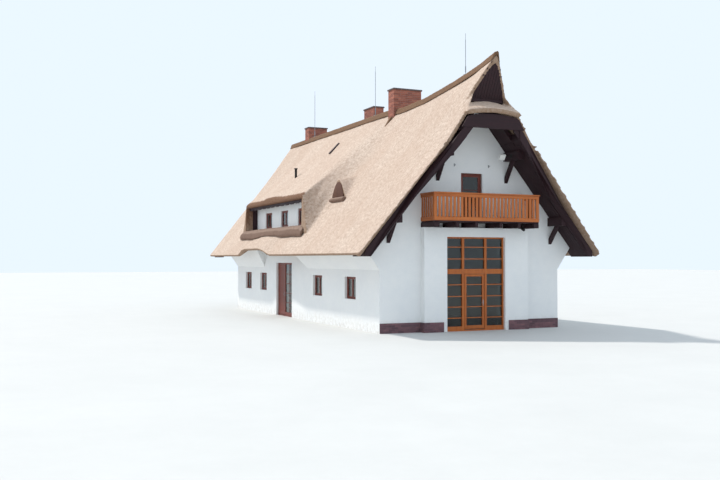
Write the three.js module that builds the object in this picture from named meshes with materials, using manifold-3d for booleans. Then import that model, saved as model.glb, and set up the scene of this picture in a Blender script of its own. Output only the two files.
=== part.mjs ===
// Thatched cottage: a long rendered house under one steep reed roof, with a half-hipped front
// gable, a glazed bay under a timber balcony, a wide dormer and three brick chimneys.
// Millimetres, +Z up, front gable facing -Y. Inside the house group the origin is the front left
// corner of the outer walls at ground level.
import * as THREE from 'three';
import { mergeVertices } from 'three/addons/utils/BufferGeometryUtils.js';
import Module from 'manifold-3d';

const wasm = await Module();
wasm.setup();

// Clearance between pieces that touch
const SEAT = 0.3;
// How far a cutting tool reaches past the faces that it cuts
const THROUGH = 10;
// Slivers thinner than this are merged away after a cut
const CARVE_TOLERANCE = 0.1;

// Walls
const HOUSE_WIDTH = 8000;
const HOUSE_LENGTH = 18860;
const MIDDLE = HOUSE_WIDTH / 2;
const WALL = 300;
const SIDE_WALL_TOP = 4160;
const FLARE_FOOT = 2350;
const FLARE_REACH = 620;
const FLARE_TOP = 3226;
// The flares end beside the entrance, slanting by this much
const FLARE_ENDS = [8300, 13200];
const FLARE_SLANT = 700;
const LOWER_WALL_TOP = 3610;
const GROUND_FLOOR_TOP = 60;
const UPPER_FLOOR_BASE = 3950;
const UPPER_FLOOR_TOP = 4200;
const PLINTH_HEIGHT = 375;
const PLINTH_THICKNESS = 20;
const PLINTH_SETBACK = 150;

// Roof: the outer face of the thatch is a plane per side, with swellings added to it
const EAVE_X = -1310;
const EAVE_Z = 2980;
const EAVE_INNER_X = -1220;
const EAVE_THINNING = 200;
const PITCH = 1.22;
const THATCH_HEIGHT = 410;
const SOFFIT_PITCH = 1.206;
const SOFFIT_AT_WALL = 3974;
const VERGE_FRONT_EAVE = -1180;
const VERGE_FRONT_HIP = -1650;
const VERGE_FRONT_OWL = -1000;
const VERGE_FRONT_APEX = -1850;
// The cut face of the front verge leans back under the roof: how far, by x, and how deep it is
const VERGE_UNDERCUT = [[-1310, 250], [1000, 480], [2500, 130]];
const VERGE_EDGE = 270;
const VERGE_BACK_EAVE = 20200;
const VERGE_BACK_RIDGE = 20900;
const HIP_CORNER_X = 2840;
const OWL_CORNER_X = 3030;
const RIDGE_HALF_WIDTH = 200;
const RIDGE_ROLL_HEIGHT = 100;
const RIDGE_BEDDING = 30;
const RIDGE_SHOULDER = { inset: 15, rise: 75 };
const RIDGE_CROWN = { half: 90, drop: 25 };
// Share of the slope at which the rise of the ridge begins, and the share over which it builds up
const SWEEP_START = 0.68;
const SWEEP_SHARE = 0.3;
// Half-hip: arch of its eave and thickness, at the eave and at the owl hole
const HIP_ARCH = [120, 180];
const HIP_THICKNESS = [200, 400];
// Rise of the ridge above the straight roof planes, along the house
const RIDGE_LINE = [
  [-1850, 950], [-830, 710], [350, 530], [1390, 390], [3650, 150], [5800, 70], [7600, 170], [20900, 190],
];

// Dormer on the left slope
const DORMER_MIDDLE = 11250;
const DORMER_HALF = 4250;
const HOOD_EDGE_X = -500;
const HOOD_AT_WALL = 6050;
const HOOD_PITCH = 0.833;
const HOOD_LIP = 5440;
// The hood blends into the plain slope between these distances past the dormer's ends
const HOOD_BLEND_LOW = [50, 700];
const HOOD_BLEND_HIGH = [-450, 1600];
const HOOD_BLEND_REACH = 2700;
const DORMER_WALL_X = [100, 280];
const DORMER_WINDOWS = [8640, 11070, 13520];
const DORMER_WINDOW = { width: 1040, sill: 4340, top: 5120 };
const DORMER_WALL_TOP = 6000;
const CHEEK_X = [-150, 90];
const CHEEK_THICKNESS = 40;
const VALANCE_X = [-340, -300];
const VALANCE_DEPTH = 150;
const SCALLOPS = 12;
const SILL_ENDS = [6600, 16000];
const SILL_WAVE = { height: 60, length: 1200 };
const SILL_TAPER = { length: 300, fall: 90 };

// Raised eave over the entrance
const EYEBROW = { rise: 300, start: 9100, run: 1900, end: 13600, fade: 800, reach: 1300, slant: 1.8 };

// Bay, terrace glazing and balcony
const BAY = [1720, 6360];
const BAY_FRONT = -300;
const BAY_TOP = 3960;
const GLAZING = [2700, 5300];
const GLAZING_Y = [-180, -120];
const POST_LEFT = [3420, 3516];
const POST_RIGHT = [4424, 4520];
const TRANSOM = [2190, 2383];
const BAR = 35;
const LOWER_BARS = [505, 927, 1334, 1779];
const UPPER_BARS = [2767, 3220];
const FRAME_STILE = 60;
const FRAME_SILL = 50;
const LOWER_PANE_FOOT = 183;
const LEAF_STILE = 90;
const LEAF_PANE_FOOT = 210;
const PANE = 6;
const GLASS_EDGE = 30;
const GLASS_LAP = 40;
const PANE_LAP = 20;
const BALCONY_DEPTH = 1080;
const BALCONY_DECK = [4150, 4190];
const BALCONY_RAIL_TOP = 5250;
const BEAM_WIDTH = 235;
const BEAM_OFFSETS = [-2200, -1360, -540, 540, 1360, 2200];
const SLATS = 29;
const SIDE_SLATS = 6;
const SLAT_GAP = 50;
const RAIL_BOARD = 150;
const RAIL_THICKNESS = 30;
const RAIL_LIP = 15;

// Doors
const LEAF = 44;
const LEAF_GAP = 14;
const LEAF_HEADROOM = 10;
const LEAF_SETBACK = 8;
const PIN_RADIUS = 8;
const ENTRANCE = [9700, 12000];
const ENTRANCE_TOP = 2580;
const ENTRANCE_X = [100, 170];
const ENTRANCE_LEAF_Y = [10980, 11930];
const ENTRANCE_LEAF_TOP = 2500;
const ENTRANCE_REBATE = 13;
const SIDELIGHT_FOOT = 200;
const SIDELIGHT_BARS = [660, 1120, 1580, 2040];

// Small windows
const SIDE_WINDOWS_FRONT = [[2200, 3300], [5800, 6900]];
const SIDE_WINDOWS_BACK = [[13550, 14650], [16200, 17300]];
const SIDE_WINDOWS_RIGHT = [[2200, 3300], [9200, 10300], [15200, 16300]];
const SIDE_WINDOW_Z = [1170, 2060];
const GABLE_DOOR = [3490, 4450];
const GABLE_DOOR_TOP = 6100;
const BACK_WINDOW = [3350, 4650];
const BACK_WINDOW_UPPER_SILL = 4900;
const REVEAL = 100;
const SASH_DEPTH = 60;

// Chimneys: x range, y range, top
const CHIMNEYS = {
  chimney_main: [[3770, 5180], [6450, 7040], 10600],
  chimney_middle: [[5000, 5560], [11300, 12500], 10630],
  chimney_back: [[3900, 5030], [17850, 18450], 10400],
};
const CHIMNEY_CAP = 70;
const CAP_OVERHANG = 40;
const FLUE_WALL = 180;
const FLUE_DEPTH = 300;

// Rods and pipe
const ROD_RADIUS = 14;
const RODS = { rod_front: [490, 11700], rod_middle: [8950, 12100], rod_back: [17140, 12350] };
const ROD_SOCKET = 80;
const VENT_PIPE = { x: 1000, y: 11950, radius: 60, above: 430, below: 250, collar: 30 };

// Purlin ends under the verges: x from the wall corner, top height, brace foot height
const PURLINS = [
  { x: 2460, top: 6950, foot: 5760 },
  { x: 360, top: 4420, foot: 3360 },
];
const PURLIN_REACH = 1050;
const PURLIN_SIZE = [230, 330];
const BRACE_SIZE = 140;
const BRACE_REACH = 500;
const BRACE_FOOT_HEIGHT = 220;
const BRACE_HEAD_HALF = 90;
const SOFFIT_EDGE_X = -950;
const BARGE_EDGE_X = -1000;
const BARGE_INSET = 30;
const BARGE_THICKNESS = 60;
const PEAK_SOFFIT_Y = -850;
const BARGE_DEPTH = 470;
const BARGE_DROP = 15;
const BARGE_END_Z = 2860;
const GUSSET_END_X = 3120;

// Collar board under the half-hip, and the panel that closes the owl hole
const COLLAR = { foot: 7640, spring: 7990, half: 1150, rise: 190, overlap: 200, behind: 95, thickness: 60 };
const OWL_PANEL = { half: 1000, foot: 8300, top: 10300, y: [-940, -900] };

// Small triangular dormer
const SMALL_DORMER = { x: 620, y: 5500, sill: 5300, top: 6260, half: 880, backX: 1560 };
const SMALL_RECESS = { half: 680, foot: 90, below: 190, x: [-50, 120] };
const SMALL_ROLL = { radius: 120, length: 1640, shift: -200, above: 10 };

// Looks
const COLOURS = {
  render: { color: 0xe9e9e6, roughness: 0.9 },
  thatch: { color: 0xcdb494, roughness: 1.0 },
  ridge: { color: 0x85705a, roughness: 1.0 },
  timber: { color: 0x2d2226, roughness: 0.8 },
  larch: { color: 0xb0683a, roughness: 0.6 },
  redwood: { color: 0x703c34, roughness: 0.6 },
  glass: { color: 0x4a5a5c, roughness: 0.1 },
  brick: { color: 0x965c50, roughness: 0.9 },
  plinth: { color: 0x6e5254, roughness: 0.9 },
  floor: { color: 0x9a948c, roughness: 0.8 },
  metal: { color: 0x8e9092, roughness: 0.4, metalness: 0.8 },
};

// Solid helpers

/** Turns a three.js geometry into a solid that can be cut and joined. */
function solidFrom(geometry) {
  const bare = geometry.clone();
  bare.deleteAttribute('normal');
  bare.deleteAttribute('uv');
  const merged = mergeVertices(bare, 1e-3);
  const mesh = new wasm.Mesh({
    numProp: 3,
    vertProperties: new Float32Array(merged.attributes.position.array),
    triVerts: new Uint32Array(merged.index.array),
  });
  return new wasm.Manifold(mesh);
}

/** Turns a solid back into a geometry for a mesh. */
function geometryFrom(solid) {
  const mesh = solid.getMesh();
  const geometry = new THREE.BufferGeometry();
  geometry.setAttribute('position', new THREE.BufferAttribute(new Float32Array(mesh.vertProperties), 3));
  geometry.setIndex(new THREE.BufferAttribute(new Uint32Array(mesh.triVerts), 1));
  geometry.computeVertexNormals();
  return geometry;
}

function box([x0, x1], [y0, y1], [z0, z1]) {
  const geometry = new THREE.BoxGeometry(x1 - x0, y1 - y0, z1 - z0);
  geometry.translate((x0 + x1) / 2, (y0 + y1) / 2, (z0 + z1) / 2);
  return solidFrom(geometry);
}

function cylinder(radius, [x, y], [z0, z1], sides = 12) {
  const geometry = new THREE.CylinderGeometry(radius, radius, z1 - z0, sides);
  geometry.rotateX(Math.PI / 2);
  geometry.translate(x, y, (z0 + z1) / 2);
  return solidFrom(geometry);
}

const AXES = {
  xy: [[1, 0, 0], [0, 1, 0], [0, 0, 1]],
  xz: [[1, 0, 0], [0, 0, 1], [0, -1, 0]],
  yz: [[0, 1, 0], [0, 0, 1], [1, 0, 0]],
};

/** Extrudes an outline drawn in one plane between two places on the third axis. */
function extrudePlain(plane, outline, [from, to]) {
  const shape = new THREE.Shape(outline.map(([u, v]) => new THREE.Vector2(u, v)));
  const geometry = new THREE.ExtrudeGeometry(shape, { depth: to - from, bevelEnabled: false });
  const axes = AXES[plane].map((axis) => new THREE.Vector3(...axis));
  geometry.applyMatrix4(new THREE.Matrix4().makeBasis(...axes));
  const shift = axes[2].clone().multiplyScalar(plane === 'xz' ? -to : from);
  geometry.translate(shift.x, shift.y, shift.z);
  return solidFrom(geometry);
}

/** An extrusion with holes cut right through it. */
function extrude(plane, outline, [from, to], holes = []) {
  return holes.reduce(
    (solid, hole) => solid.subtract(extrudePlain(plane, hole, [from - THROUGH, to + THROUGH])),
    extrudePlain(plane, outline, [from, to]),
  );
}

const rectangle = ([u0, u1], [v0, v1]) => [[u0, v0], [u1, v0], [u1, v1], [u0, v1]];

/** Skins a row of closed rings of equal size and caps both ends; flat names the ring's two axes. */
function loft(rings, flat = ['x', 'z']) {
  const flatten = (ring) => ring.map((point) => new THREE.Vector2(point[flat[0]], point[flat[1]]));
  const turned = THREE.ShapeUtils.area(flatten(rings[0])) < 0;
  const ordered = turned ? rings.map((ring) => [...ring].reverse()) : rings;
  const count = ordered[0].length;
  const positions = ordered.flat().flatMap((point) => [point.x, point.y, point.z]);
  const index = [];
  for (let row = 0; row < ordered.length - 1; row += 1) {
    for (let k = 0; k < count; k += 1) {
      const a = row * count + k;
      const b = row * count + ((k + 1) % count);
      index.push(a, a + count, b, b, a + count, b + count);
    }
  }
  for (const [row, flipped] of [[0, false], [ordered.length - 1, true]]) {
    for (const face of THREE.ShapeUtils.triangulateShape(flatten(ordered[row]), [])) {
      const corners = face.map((corner) => corner + row * count);
      index.push(...(flipped ? corners.reverse() : corners));
    }
  }
  const geometry = new THREE.BufferGeometry();
  geometry.setAttribute('position', new THREE.BufferAttribute(new Float32Array(positions), 3));
  geometry.setIndex(index);
  const solid = solidFrom(geometry);
  if (solid.volume() > 0) {
    return solid;
  }
  geometry.setIndex(index.reverse());
  return solidFrom(geometry);
}

const point = (x, y, z) => new THREE.Vector3(x, y, z);

const join = (...solids) => solids.reduce((whole, solid) => whole.add(solid));

/** Keeps only the largest body of a solid. */
function largest(solid) {
  return solid.decompose().reduce((best, body) => (body.volume() > best.volume() ? body : best));
}

// Directions in which a cut neighbour is moved to leave the seat clearance
const EVERY_WAY = [[1, 0, 0], [-1, 0, 0], [0, 1, 0], [0, -1, 0], [0, 0, 1], [0, 0, -1]];
const UPWARD = [[0, 0, 1]];
const OFF_LEFT_SLOPE = [[-1, 0, 1]];

/** Cuts neighbours out of a solid and leaves the seat clearance to them. */
function carve(solid, neighbours, steps = EVERY_WAY) {
  let rest = solid;
  for (const neighbour of neighbours) {
    for (const step of steps) {
      rest = rest.subtract(neighbour.translate(step.map((value) => value * SEAT)));
    }
  }
  return largest(rest.simplify(CARVE_TOLERANCE));
}

/** The same solid on the other side of the ridge. */
function mirror(solid) {
  return solid.mirror([1, 0, 0]).translate([HOUSE_WIDTH, 0, 0]);
}

const mirrorX = (x) => HOUSE_WIDTH - x;

/** A box given by ranges, grown by the seat clearance on the four sides. */
const shaft = ([x0, x1], [y0, y1], z) => box([x0 - SEAT, x1 + SEAT], [y0 - SEAT, y1 + SEAT], z);

// Roof surface

const smooth = (value) => {
  const t = Math.min(1, Math.max(0, value));
  return t * t * (3 - 2 * t);
};

const mix = (from, to, share) => from + (to - from) * share;

/** Reads a table of [key, value] rows with straight lines between them. */
function between(table, at) {
  const next = table.findIndex(([key]) => key >= at);
  if (next <= 0) {
    return table[next === 0 ? 0 : table.length - 1][1];
  }
  const [k0, v0] = table[next - 1];
  const [k1, v1] = table[next];
  return v0 + ((v1 - v0) * (at - k0)) / (k1 - k0);
}

const planeZ = (x) => EAVE_Z + PITCH * (x - EAVE_X);
const soffitZ = (x) => SOFFIT_AT_WALL + SOFFIT_PITCH * x;
const soffitX = (z) => (z - SOFFIT_AT_WALL) / SOFFIT_PITCH;
const up = (x) => (x - EAVE_X) / (MIDDLE - EAVE_X);

function ridgeSweep(x, y) {
  return between(RIDGE_LINE, y) * smooth((up(x) - SWEEP_START) / SWEEP_SHARE);
}

function eyebrow(x, y) {
  const { rise, start, run, end, fade, reach, slant } = EYEBROW;
  const along = smooth((y - start) / run) * (1 - smooth((y - end + slant * (x - EAVE_X)) / fade));
  return rise * along * (1 - smooth((x - EAVE_X) / reach));
}

function dormerShare(x, y) {
  const spread = smooth((x - HOOD_EDGE_X) / HOOD_BLEND_REACH);
  const [inner, outer] = HOOD_BLEND_LOW.map((low, k) => DORMER_HALF + mix(low, HOOD_BLEND_HIGH[k], spread));
  return 1 - smooth((Math.abs(y - DORMER_MIDDLE) - inner) / (outer - inner));
}

function hoodRise(x, y) {
  return dormerShare(x, y) * Math.max(0, HOOD_AT_WALL + HOOD_PITCH * x - planeZ(x));
}

function vergeFront(x) {
  if (x <= HIP_CORNER_X) {
    return VERGE_FRONT_EAVE + ((VERGE_FRONT_HIP - VERGE_FRONT_EAVE) * (x - EAVE_X)) / (HIP_CORNER_X - EAVE_X);
  }
  return between([
    [HIP_CORNER_X, VERGE_FRONT_HIP], [OWL_CORNER_X, VERGE_FRONT_OWL], [MIDDLE, VERGE_FRONT_APEX],
  ], x);
}

const vergeInner = (x) => vergeFront(x) + between(VERGE_UNDERCUT, x);

function vergeBack(x) {
  return VERGE_BACK_EAVE + (VERGE_BACK_RIDGE - VERGE_BACK_EAVE) * up(x);
}

const OUTER_X = [EAVE_X, -1000, -560, HOOD_EDGE_X, 0, 600, 1300, 2200, HIP_CORNER_X, OWL_CORNER_X, 3400,
  MIDDLE - RIDGE_HALF_WIDTH, MIDDLE - SEAT / 2];
const INNER_X = [EAVE_INNER_X, -FLARE_REACH, -60, 0, 600, 1300, 2200, HIP_CORNER_X, OWL_CORNER_X, 3400,
  MIDDLE - RIDGE_HALF_WIDTH, MIDDLE - SEAT / 2];
const PLAIN_STATIONS = [-600, WALL, 1390, 2600, 3650, 5800, 7600, 13000, 18560];
const DORMER_STATIONS = [-600, WALL, 1390, 2600, 3650, 4700, 5400, 5850, 6250, 6600, 6950, 7400, 8400, 9300,
  9800, 10300, 11000, 11700, 12300, 12800, 13300, 13700, 14050, 14400, 15100, 15550, 15900, 16250, 16650,
  17200, 18560];

function outerZ(x, y, dormered) {
  const plain = planeZ(x) + ridgeSweep(x, y);
  if (!dormered) {
    return plain;
  }
  return plain + eyebrow(x, y) + (x >= HOOD_EDGE_X ? hoodRise(x, y) : 0);
}

function innerZ(x, y, dormered) {
  const swollen = dormered ? eyebrow(x, y) + (x >= 0 ? hoodRise(x, y) : 0) : 0;
  const base = planeZ(x) - THATCH_HEIGHT + ridgeSweep(x, y) + swollen;
  return x < -FLARE_REACH ? base + EAVE_THINNING : base;
}

/** One closed ring of a roof slope; a null station follows the sloping front or back verge. */
function slopeRing(station, verge, dormered) {
  const placeOf = (x) => station ?? verge(x);
  const outer = OUTER_X.map((x) => point(x, placeOf(x), outerZ(x, placeOf(x), dormered)));
  const inner = [...INNER_X].reverse().map((x) => point(x, placeOf(x), innerZ(x, placeOf(x), dormered)));
  return [...outer, ...inner];
}

/** The front end of a slope, whose cut face leans back from the outer line to the inner one. */
function frontRing(dormered) {
  const outer = OUTER_X.map((x) => point(x, vergeFront(x), outerZ(x, vergeFront(x), dormered)));
  const underside = (x) => point(x, vergeInner(x), outerZ(x, vergeInner(x), false) - VERGE_EDGE);
  const inner = [...INNER_X].reverse().map(underside);
  return [...outer, ...inner];
}

function slope(dormered) {
  const stations = dormered ? DORMER_STATIONS : PLAIN_STATIONS;
  return loft([
    frontRing(dormered),
    ...stations.map((station) => slopeRing(station, null, dormered)),
    slopeRing(null, vergeBack, dormered),
  ]);
}

function ridgeRoll([from, to]) {
  const left = MIDDLE - RIDGE_HALF_WIDTH;
  const shoulder = left + RIDGE_SHOULDER.inset;
  const crown = MIDDLE - RIDGE_CROWN.half;
  const ring = (placeOf) => {
    const side = (x) => outerZ(x, placeOf(x), false);
    const top = side(MIDDLE) + RIDGE_ROLL_HEIGHT;
    const half = [
      point(left, placeOf(left), side(left) - RIDGE_BEDDING),
      point(shoulder, placeOf(left), side(left) + RIDGE_SHOULDER.rise),
      point(crown, placeOf(crown), top - RIDGE_CROWN.drop),
    ];
    return [
      ...half,
      point(MIDDLE, placeOf(MIDDLE), top),
      ...[...half].reverse().map((corner) => point(mirrorX(corner.x), corner.y, corner.z)),
      point(MIDDLE, placeOf(MIDDLE), side(MIDDLE) + 2 * SEAT),
    ];
  };
  const first = from === null ? vergeFront : () => from;
  const last = to === null ? vergeBack : () => to;
  const inside = PLAIN_STATIONS.filter((y) => y > (from ?? VERGE_FRONT_APEX) && y < (to ?? VERGE_BACK_EAVE));
  return loft([ring(first), ...inside.map((y) => ring(() => y)), ring(last)]);
}

/** The half-hip: thatch between the two hip lines, arched along its eave. */
function halfHip() {
  const steps = [0, 0.25, 0.5, 0.75, 1];
  const across = [-1, -0.75, -0.4, 0, 0.4, 0.75, 1];
  return loft(steps.map((t) => {
    const x = mix(HIP_CORNER_X, OWL_CORNER_X, t);
    const y = mix(VERGE_FRONT_HIP, VERGE_FRONT_OWL, t);
    const edge = outerZ(x, y, false);
    const arch = mix(...HIP_ARCH, t);
    const thickness = mix(...HIP_THICKNESS, t);
    const top = across.map((u) => point(MIDDLE + u * (MIDDLE - x), y, edge + arch * (1 - u * u)));
    const bottom = [...top].reverse().map((corner) => point(corner.x, y, corner.z - thickness));
    return [...top, ...bottom];
  }));
}

// Timber under the verges

/** A slab under the slope between two heights, from one y rule to another. */
function underSlope(xs, topOf, bottomOf, [nearOf, farOf]) {
  const ring = (placeOf) => [
    ...xs.map((x) => point(x, placeOf(x), topOf(x))),
    ...[...xs].reverse().map((x) => point(x, placeOf(x), bottomOf(x))),
  ];
  return loft([ring(nearOf), ring(farOf)]);
}

const deckTop = (x) => planeZ(x) - THATCH_HEIGHT - SEAT;

/** Purlin ends with their braces; a rule gives how far each one reaches out of the wall. */
function purlinSet(wallFace, outward, reachOf) {
  const pieces = PURLINS.map(({ x, top, foot }) => {
    const [width, height] = PURLIN_SIZE;
    const near = wallFace + outward * SEAT;
    const alongY = (a, b) => [Math.min(a, b), Math.max(a, b)];
    const beam = box([x - width / 2, x + width / 2], alongY(near, wallFace + outward * reachOf(x)),
      [top - height, top]);
    const head = top - height + THROUGH;
    const brace = extrude('yz', [
      [near, foot], [near, foot + BRACE_FOOT_HEIGHT],
      [wallFace + outward * (BRACE_REACH - BRACE_HEAD_HALF), head],
      [wallFace + outward * (BRACE_REACH + BRACE_HEAD_HALF), head],
    ], [x - BRACE_SIZE / 2, x + BRACE_SIZE / 2]);
    return join(beam, brace);
  });
  return join(...pieces);
}

/** Everything under the level at which the barge boards are cut off at the eave. */
const belowBarge = box([2 * EAVE_X, MIDDLE], [2 * VERGE_FRONT_APEX, VERGE_BACK_RIDGE], [0, BARGE_END_Z]);

function frontVerge() {
  const soffitEnd = HIP_CORNER_X - BARGE_THICKNESS;
  const bends = [VERGE_UNDERCUT[1][0], VERGE_UNDERCUT[2][0]];
  const soffit = underSlope([SOFFIT_EDGE_X, ...bends, soffitEnd], deckTop, soffitZ, [vergeInner, () => WALL]);
  const peak = underSlope([soffitEnd - 1, MIDDLE - SEAT], deckTop, soffitZ,
    [() => PEAK_SOFFIT_Y, () => WALL]);
  const bargeTop = (x) => planeZ(x) - VERGE_EDGE - BARGE_DROP;
  const barge = underSlope([BARGE_EDGE_X, ...bends, HIP_CORNER_X], bargeTop, (x) => bargeTop(x) - BARGE_DEPTH,
    [(x) => vergeInner(x) - BARGE_THICKNESS / 2, (x) => vergeInner(x) + BARGE_THICKNESS / 2]);
  const gussetFront = vergeInner(HIP_CORNER_X);
  const gusset = extrude('xz', [
    [soffitEnd, bargeTop(soffitEnd)], [HIP_CORNER_X, bargeTop(HIP_CORNER_X)],
    [GUSSET_END_X, bargeTop(HIP_CORNER_X)],
    [GUSSET_END_X, bargeTop(GUSSET_END_X) - BARGE_DEPTH], [soffitEnd, bargeTop(soffitEnd) - BARGE_DEPTH],
  ], [gussetFront, gussetFront + BARGE_THICKNESS]);
  const purlins = purlinSet(0, -1, (x) => Math.min(PURLIN_REACH, -vergeInner(x)));
  return join(soffit, peak, barge, gusset, purlins).subtract(belowBarge);
}

function backVerge() {
  const back = HOUSE_LENGTH - WALL;
  const soffit = underSlope([SOFFIT_EDGE_X, MIDDLE], deckTop, soffitZ,
    [() => back, (x) => vergeBack(x) - BARGE_THICKNESS]);
  const barge = underSlope([BARGE_EDGE_X, MIDDLE], deckTop, (x) => deckTop(x) - BARGE_DEPTH,
    [(x) => vergeBack(x) - BARGE_INSET - BARGE_THICKNESS, (x) => vergeBack(x) - BARGE_INSET]);
  const half = join(soffit, barge, purlinSet(HOUSE_LENGTH, 1, () => PURLIN_REACH)).subtract(belowBarge);
  return join(half, mirror(half));
}

// Windows

/** A framed window in the u-v plane: frame, bars and one thin pane, set in a hole. */
function sash(plane, [u0, u1], [v0, v1], [near, far], { columns = [], rows = [], rail = 70 } = {}) {
  const outline = rectangle([u0 + SEAT, u1 - SEAT], [v0 + SEAT, v1 - SEAT]);
  const edgesU = [u0 + rail, ...columns.flatMap((u) => [u - BAR, u + BAR]), u1 - rail];
  const edgesV = [v0 + rail, ...rows.flatMap((v) => [v - BAR / 2, v + BAR / 2]), v1 - rail];
  const holes = [];
  for (let i = 0; i < edgesU.length; i += 2) {
    for (let j = 0; j < edgesV.length; j += 2) {
      holes.push(rectangle([edgesU[i], edgesU[i + 1]], [edgesV[j], edgesV[j + 1]]));
    }
  }
  const frame = extrude(plane, outline, [near, far], holes);
  const middle = (near + far) / 2;
  const pane = extrude(plane, rectangle([u0 + rail / 2, u1 - rail / 2], [v0 + rail / 2, v1 - rail / 2]),
    [middle - PANE / 2, middle + PANE / 2]);
  return join(frame, pane);
}

const sideSash = (y, x) => sash('yz', y, SIDE_WINDOW_Z, x, { columns: [(y[0] + y[1]) / 2] });

/** Panes of a door or window column between two posts, split by level bars. */
function paneHoles([u0, u1], [v0, v1], bars) {
  const edges = [v0, ...bars.flatMap((v) => [v - BAR / 2, v + BAR / 2]), v1];
  const holes = [];
  for (let j = 0; j < edges.length; j += 2) {
    holes.push(rectangle([u0, u1], [edges[j], edges[j + 1]]));
  }
  return holes;
}

// Model

const pieces = [];

function add(name, solid, look) {
  pieces.push({ name, solid, look });
  return solid;
}

// Lower walls
const lowerWall = extrude('xz', [
  [0, 0], [GLAZING[0], 0], [GLAZING[0], LOWER_WALL_TOP], [soffitX(LOWER_WALL_TOP) + 1, LOWER_WALL_TOP],
  [1 - FLARE_REACH, FLARE_TOP], [0, FLARE_FOOT],
], [0, WALL]);
const pierLeft = box([BAY[0], GLAZING[0]], [BAY_FRONT, 0], [0, LOWER_WALL_TOP]);
const pierRight = box([GLAZING[1], BAY[1]], [BAY_FRONT, 0], [0, LOWER_WALL_TOP]);
add('front_wall_left', join(lowerWall, pierLeft), 'render');
add('front_wall_right', join(mirror(lowerWall), pierRight), 'render');

// Front gable with the lintel of the bay
const gableFoot = LOWER_WALL_TOP + SEAT;
const gableOutline = [
  [soffitX(gableFoot) + 1, gableFoot], [mirrorX(soffitX(gableFoot) + 1), gableFoot],
  [MIDDLE, soffitZ(MIDDLE) - 1],
];
const gable = extrude('xz', gableOutline, [0, WALL],
  [rectangle(GABLE_DOOR, [UPPER_FLOOR_TOP, GABLE_DOOR_TOP])]);
const bayLintel = box(BAY, [BAY_FRONT, 0], [gableFoot, BAY_TOP]);
add('front_gable', join(gable, bayLintel), 'render');

// Side and back walls
const inside = [WALL + SEAT, HOUSE_LENGTH - WALL - SEAT];
const sideHoles = (windows) => windows.map((y) => rectangle(y, SIDE_WINDOW_Z));
const sideWall = (y, windows, x = [0, WALL]) => (
  extrude('yz', rectangle(y, [0, SIDE_WALL_TOP]), x, sideHoles(windows))
);
add('left_wall_front', sideWall([inside[0], ENTRANCE[0]], SIDE_WINDOWS_FRONT), 'render');
add('left_wall_back', sideWall([ENTRANCE[1], inside[1]], SIDE_WINDOWS_BACK), 'render');
add('left_wall_lintel', box([0, WALL], [ENTRANCE[0] + SEAT, ENTRANCE[1] - SEAT], [ENTRANCE_TOP, SIDE_WALL_TOP]),
  'render');
add('right_wall', sideWall(inside, SIDE_WINDOWS_RIGHT, [HOUSE_WIDTH - WALL, HOUSE_WIDTH]), 'render');
add('back_wall', extrude('xz', [
  [0, 0], [HOUSE_WIDTH, 0], [HOUSE_WIDTH, FLARE_FOOT], [mirrorX(1 - FLARE_REACH), FLARE_TOP],
  [MIDDLE, soffitZ(MIDDLE) - 1], [1 - FLARE_REACH, FLARE_TOP], [0, FLARE_FOOT],
], [HOUSE_LENGTH - WALL, HOUSE_LENGTH], [
  rectangle(BACK_WINDOW, SIDE_WINDOW_Z), rectangle(GABLE_DOOR, [BACK_WINDOW_UPPER_SILL, GABLE_DOOR_TOP]),
]), 'render');

// Flares that carry the eaves; the ends beside the entrance are cut on a slant
function flare(lowY, highY) {
  const ring = ([low, high]) => [
    point(-SEAT, low, FLARE_FOOT), point(-FLARE_REACH, high, FLARE_TOP),
    point(-FLARE_REACH, high, planeZ(-FLARE_REACH) - THATCH_HEIGHT - SEAT),
    point(-SEAT, high, SIDE_WALL_TOP),
  ];
  return loft([ring(lowY), ring(highY)]);
}
const [flareEnd, flareStart] = FLARE_ENDS;
add('flare_left_front', flare([inside[0], inside[0]], [flareEnd - FLARE_SLANT, flareEnd]), 'render');
add('flare_left_back', flare([flareStart + FLARE_SLANT, flareStart], [inside[1], inside[1]]), 'render');
add('flare_right', mirror(flare([inside[0], inside[0]], [inside[1], inside[1]])), 'render');

// Floors
const floorX = [WALL + SEAT, HOUSE_WIDTH - WALL - SEAT];
add('ground_floor', join(
  box(floorX, inside, [0, GROUND_FLOOR_TOP]),
  box([GLAZING[0] + SEAT, GLAZING[1] - SEAT], [GLAZING_Y[1] + SEAT, inside[0] + 1], [0, GROUND_FLOOR_TOP]),
  box([ENTRANCE_X[1] + SEAT, floorX[0] + 1], [ENTRANCE[0] + SEAT, ENTRANCE[1] - SEAT], [0, GROUND_FLOOR_TOP]),
), 'floor');
add('upper_floor', box(floorX, inside, [UPPER_FLOOR_BASE, UPPER_FLOOR_TOP]), 'floor');

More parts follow.
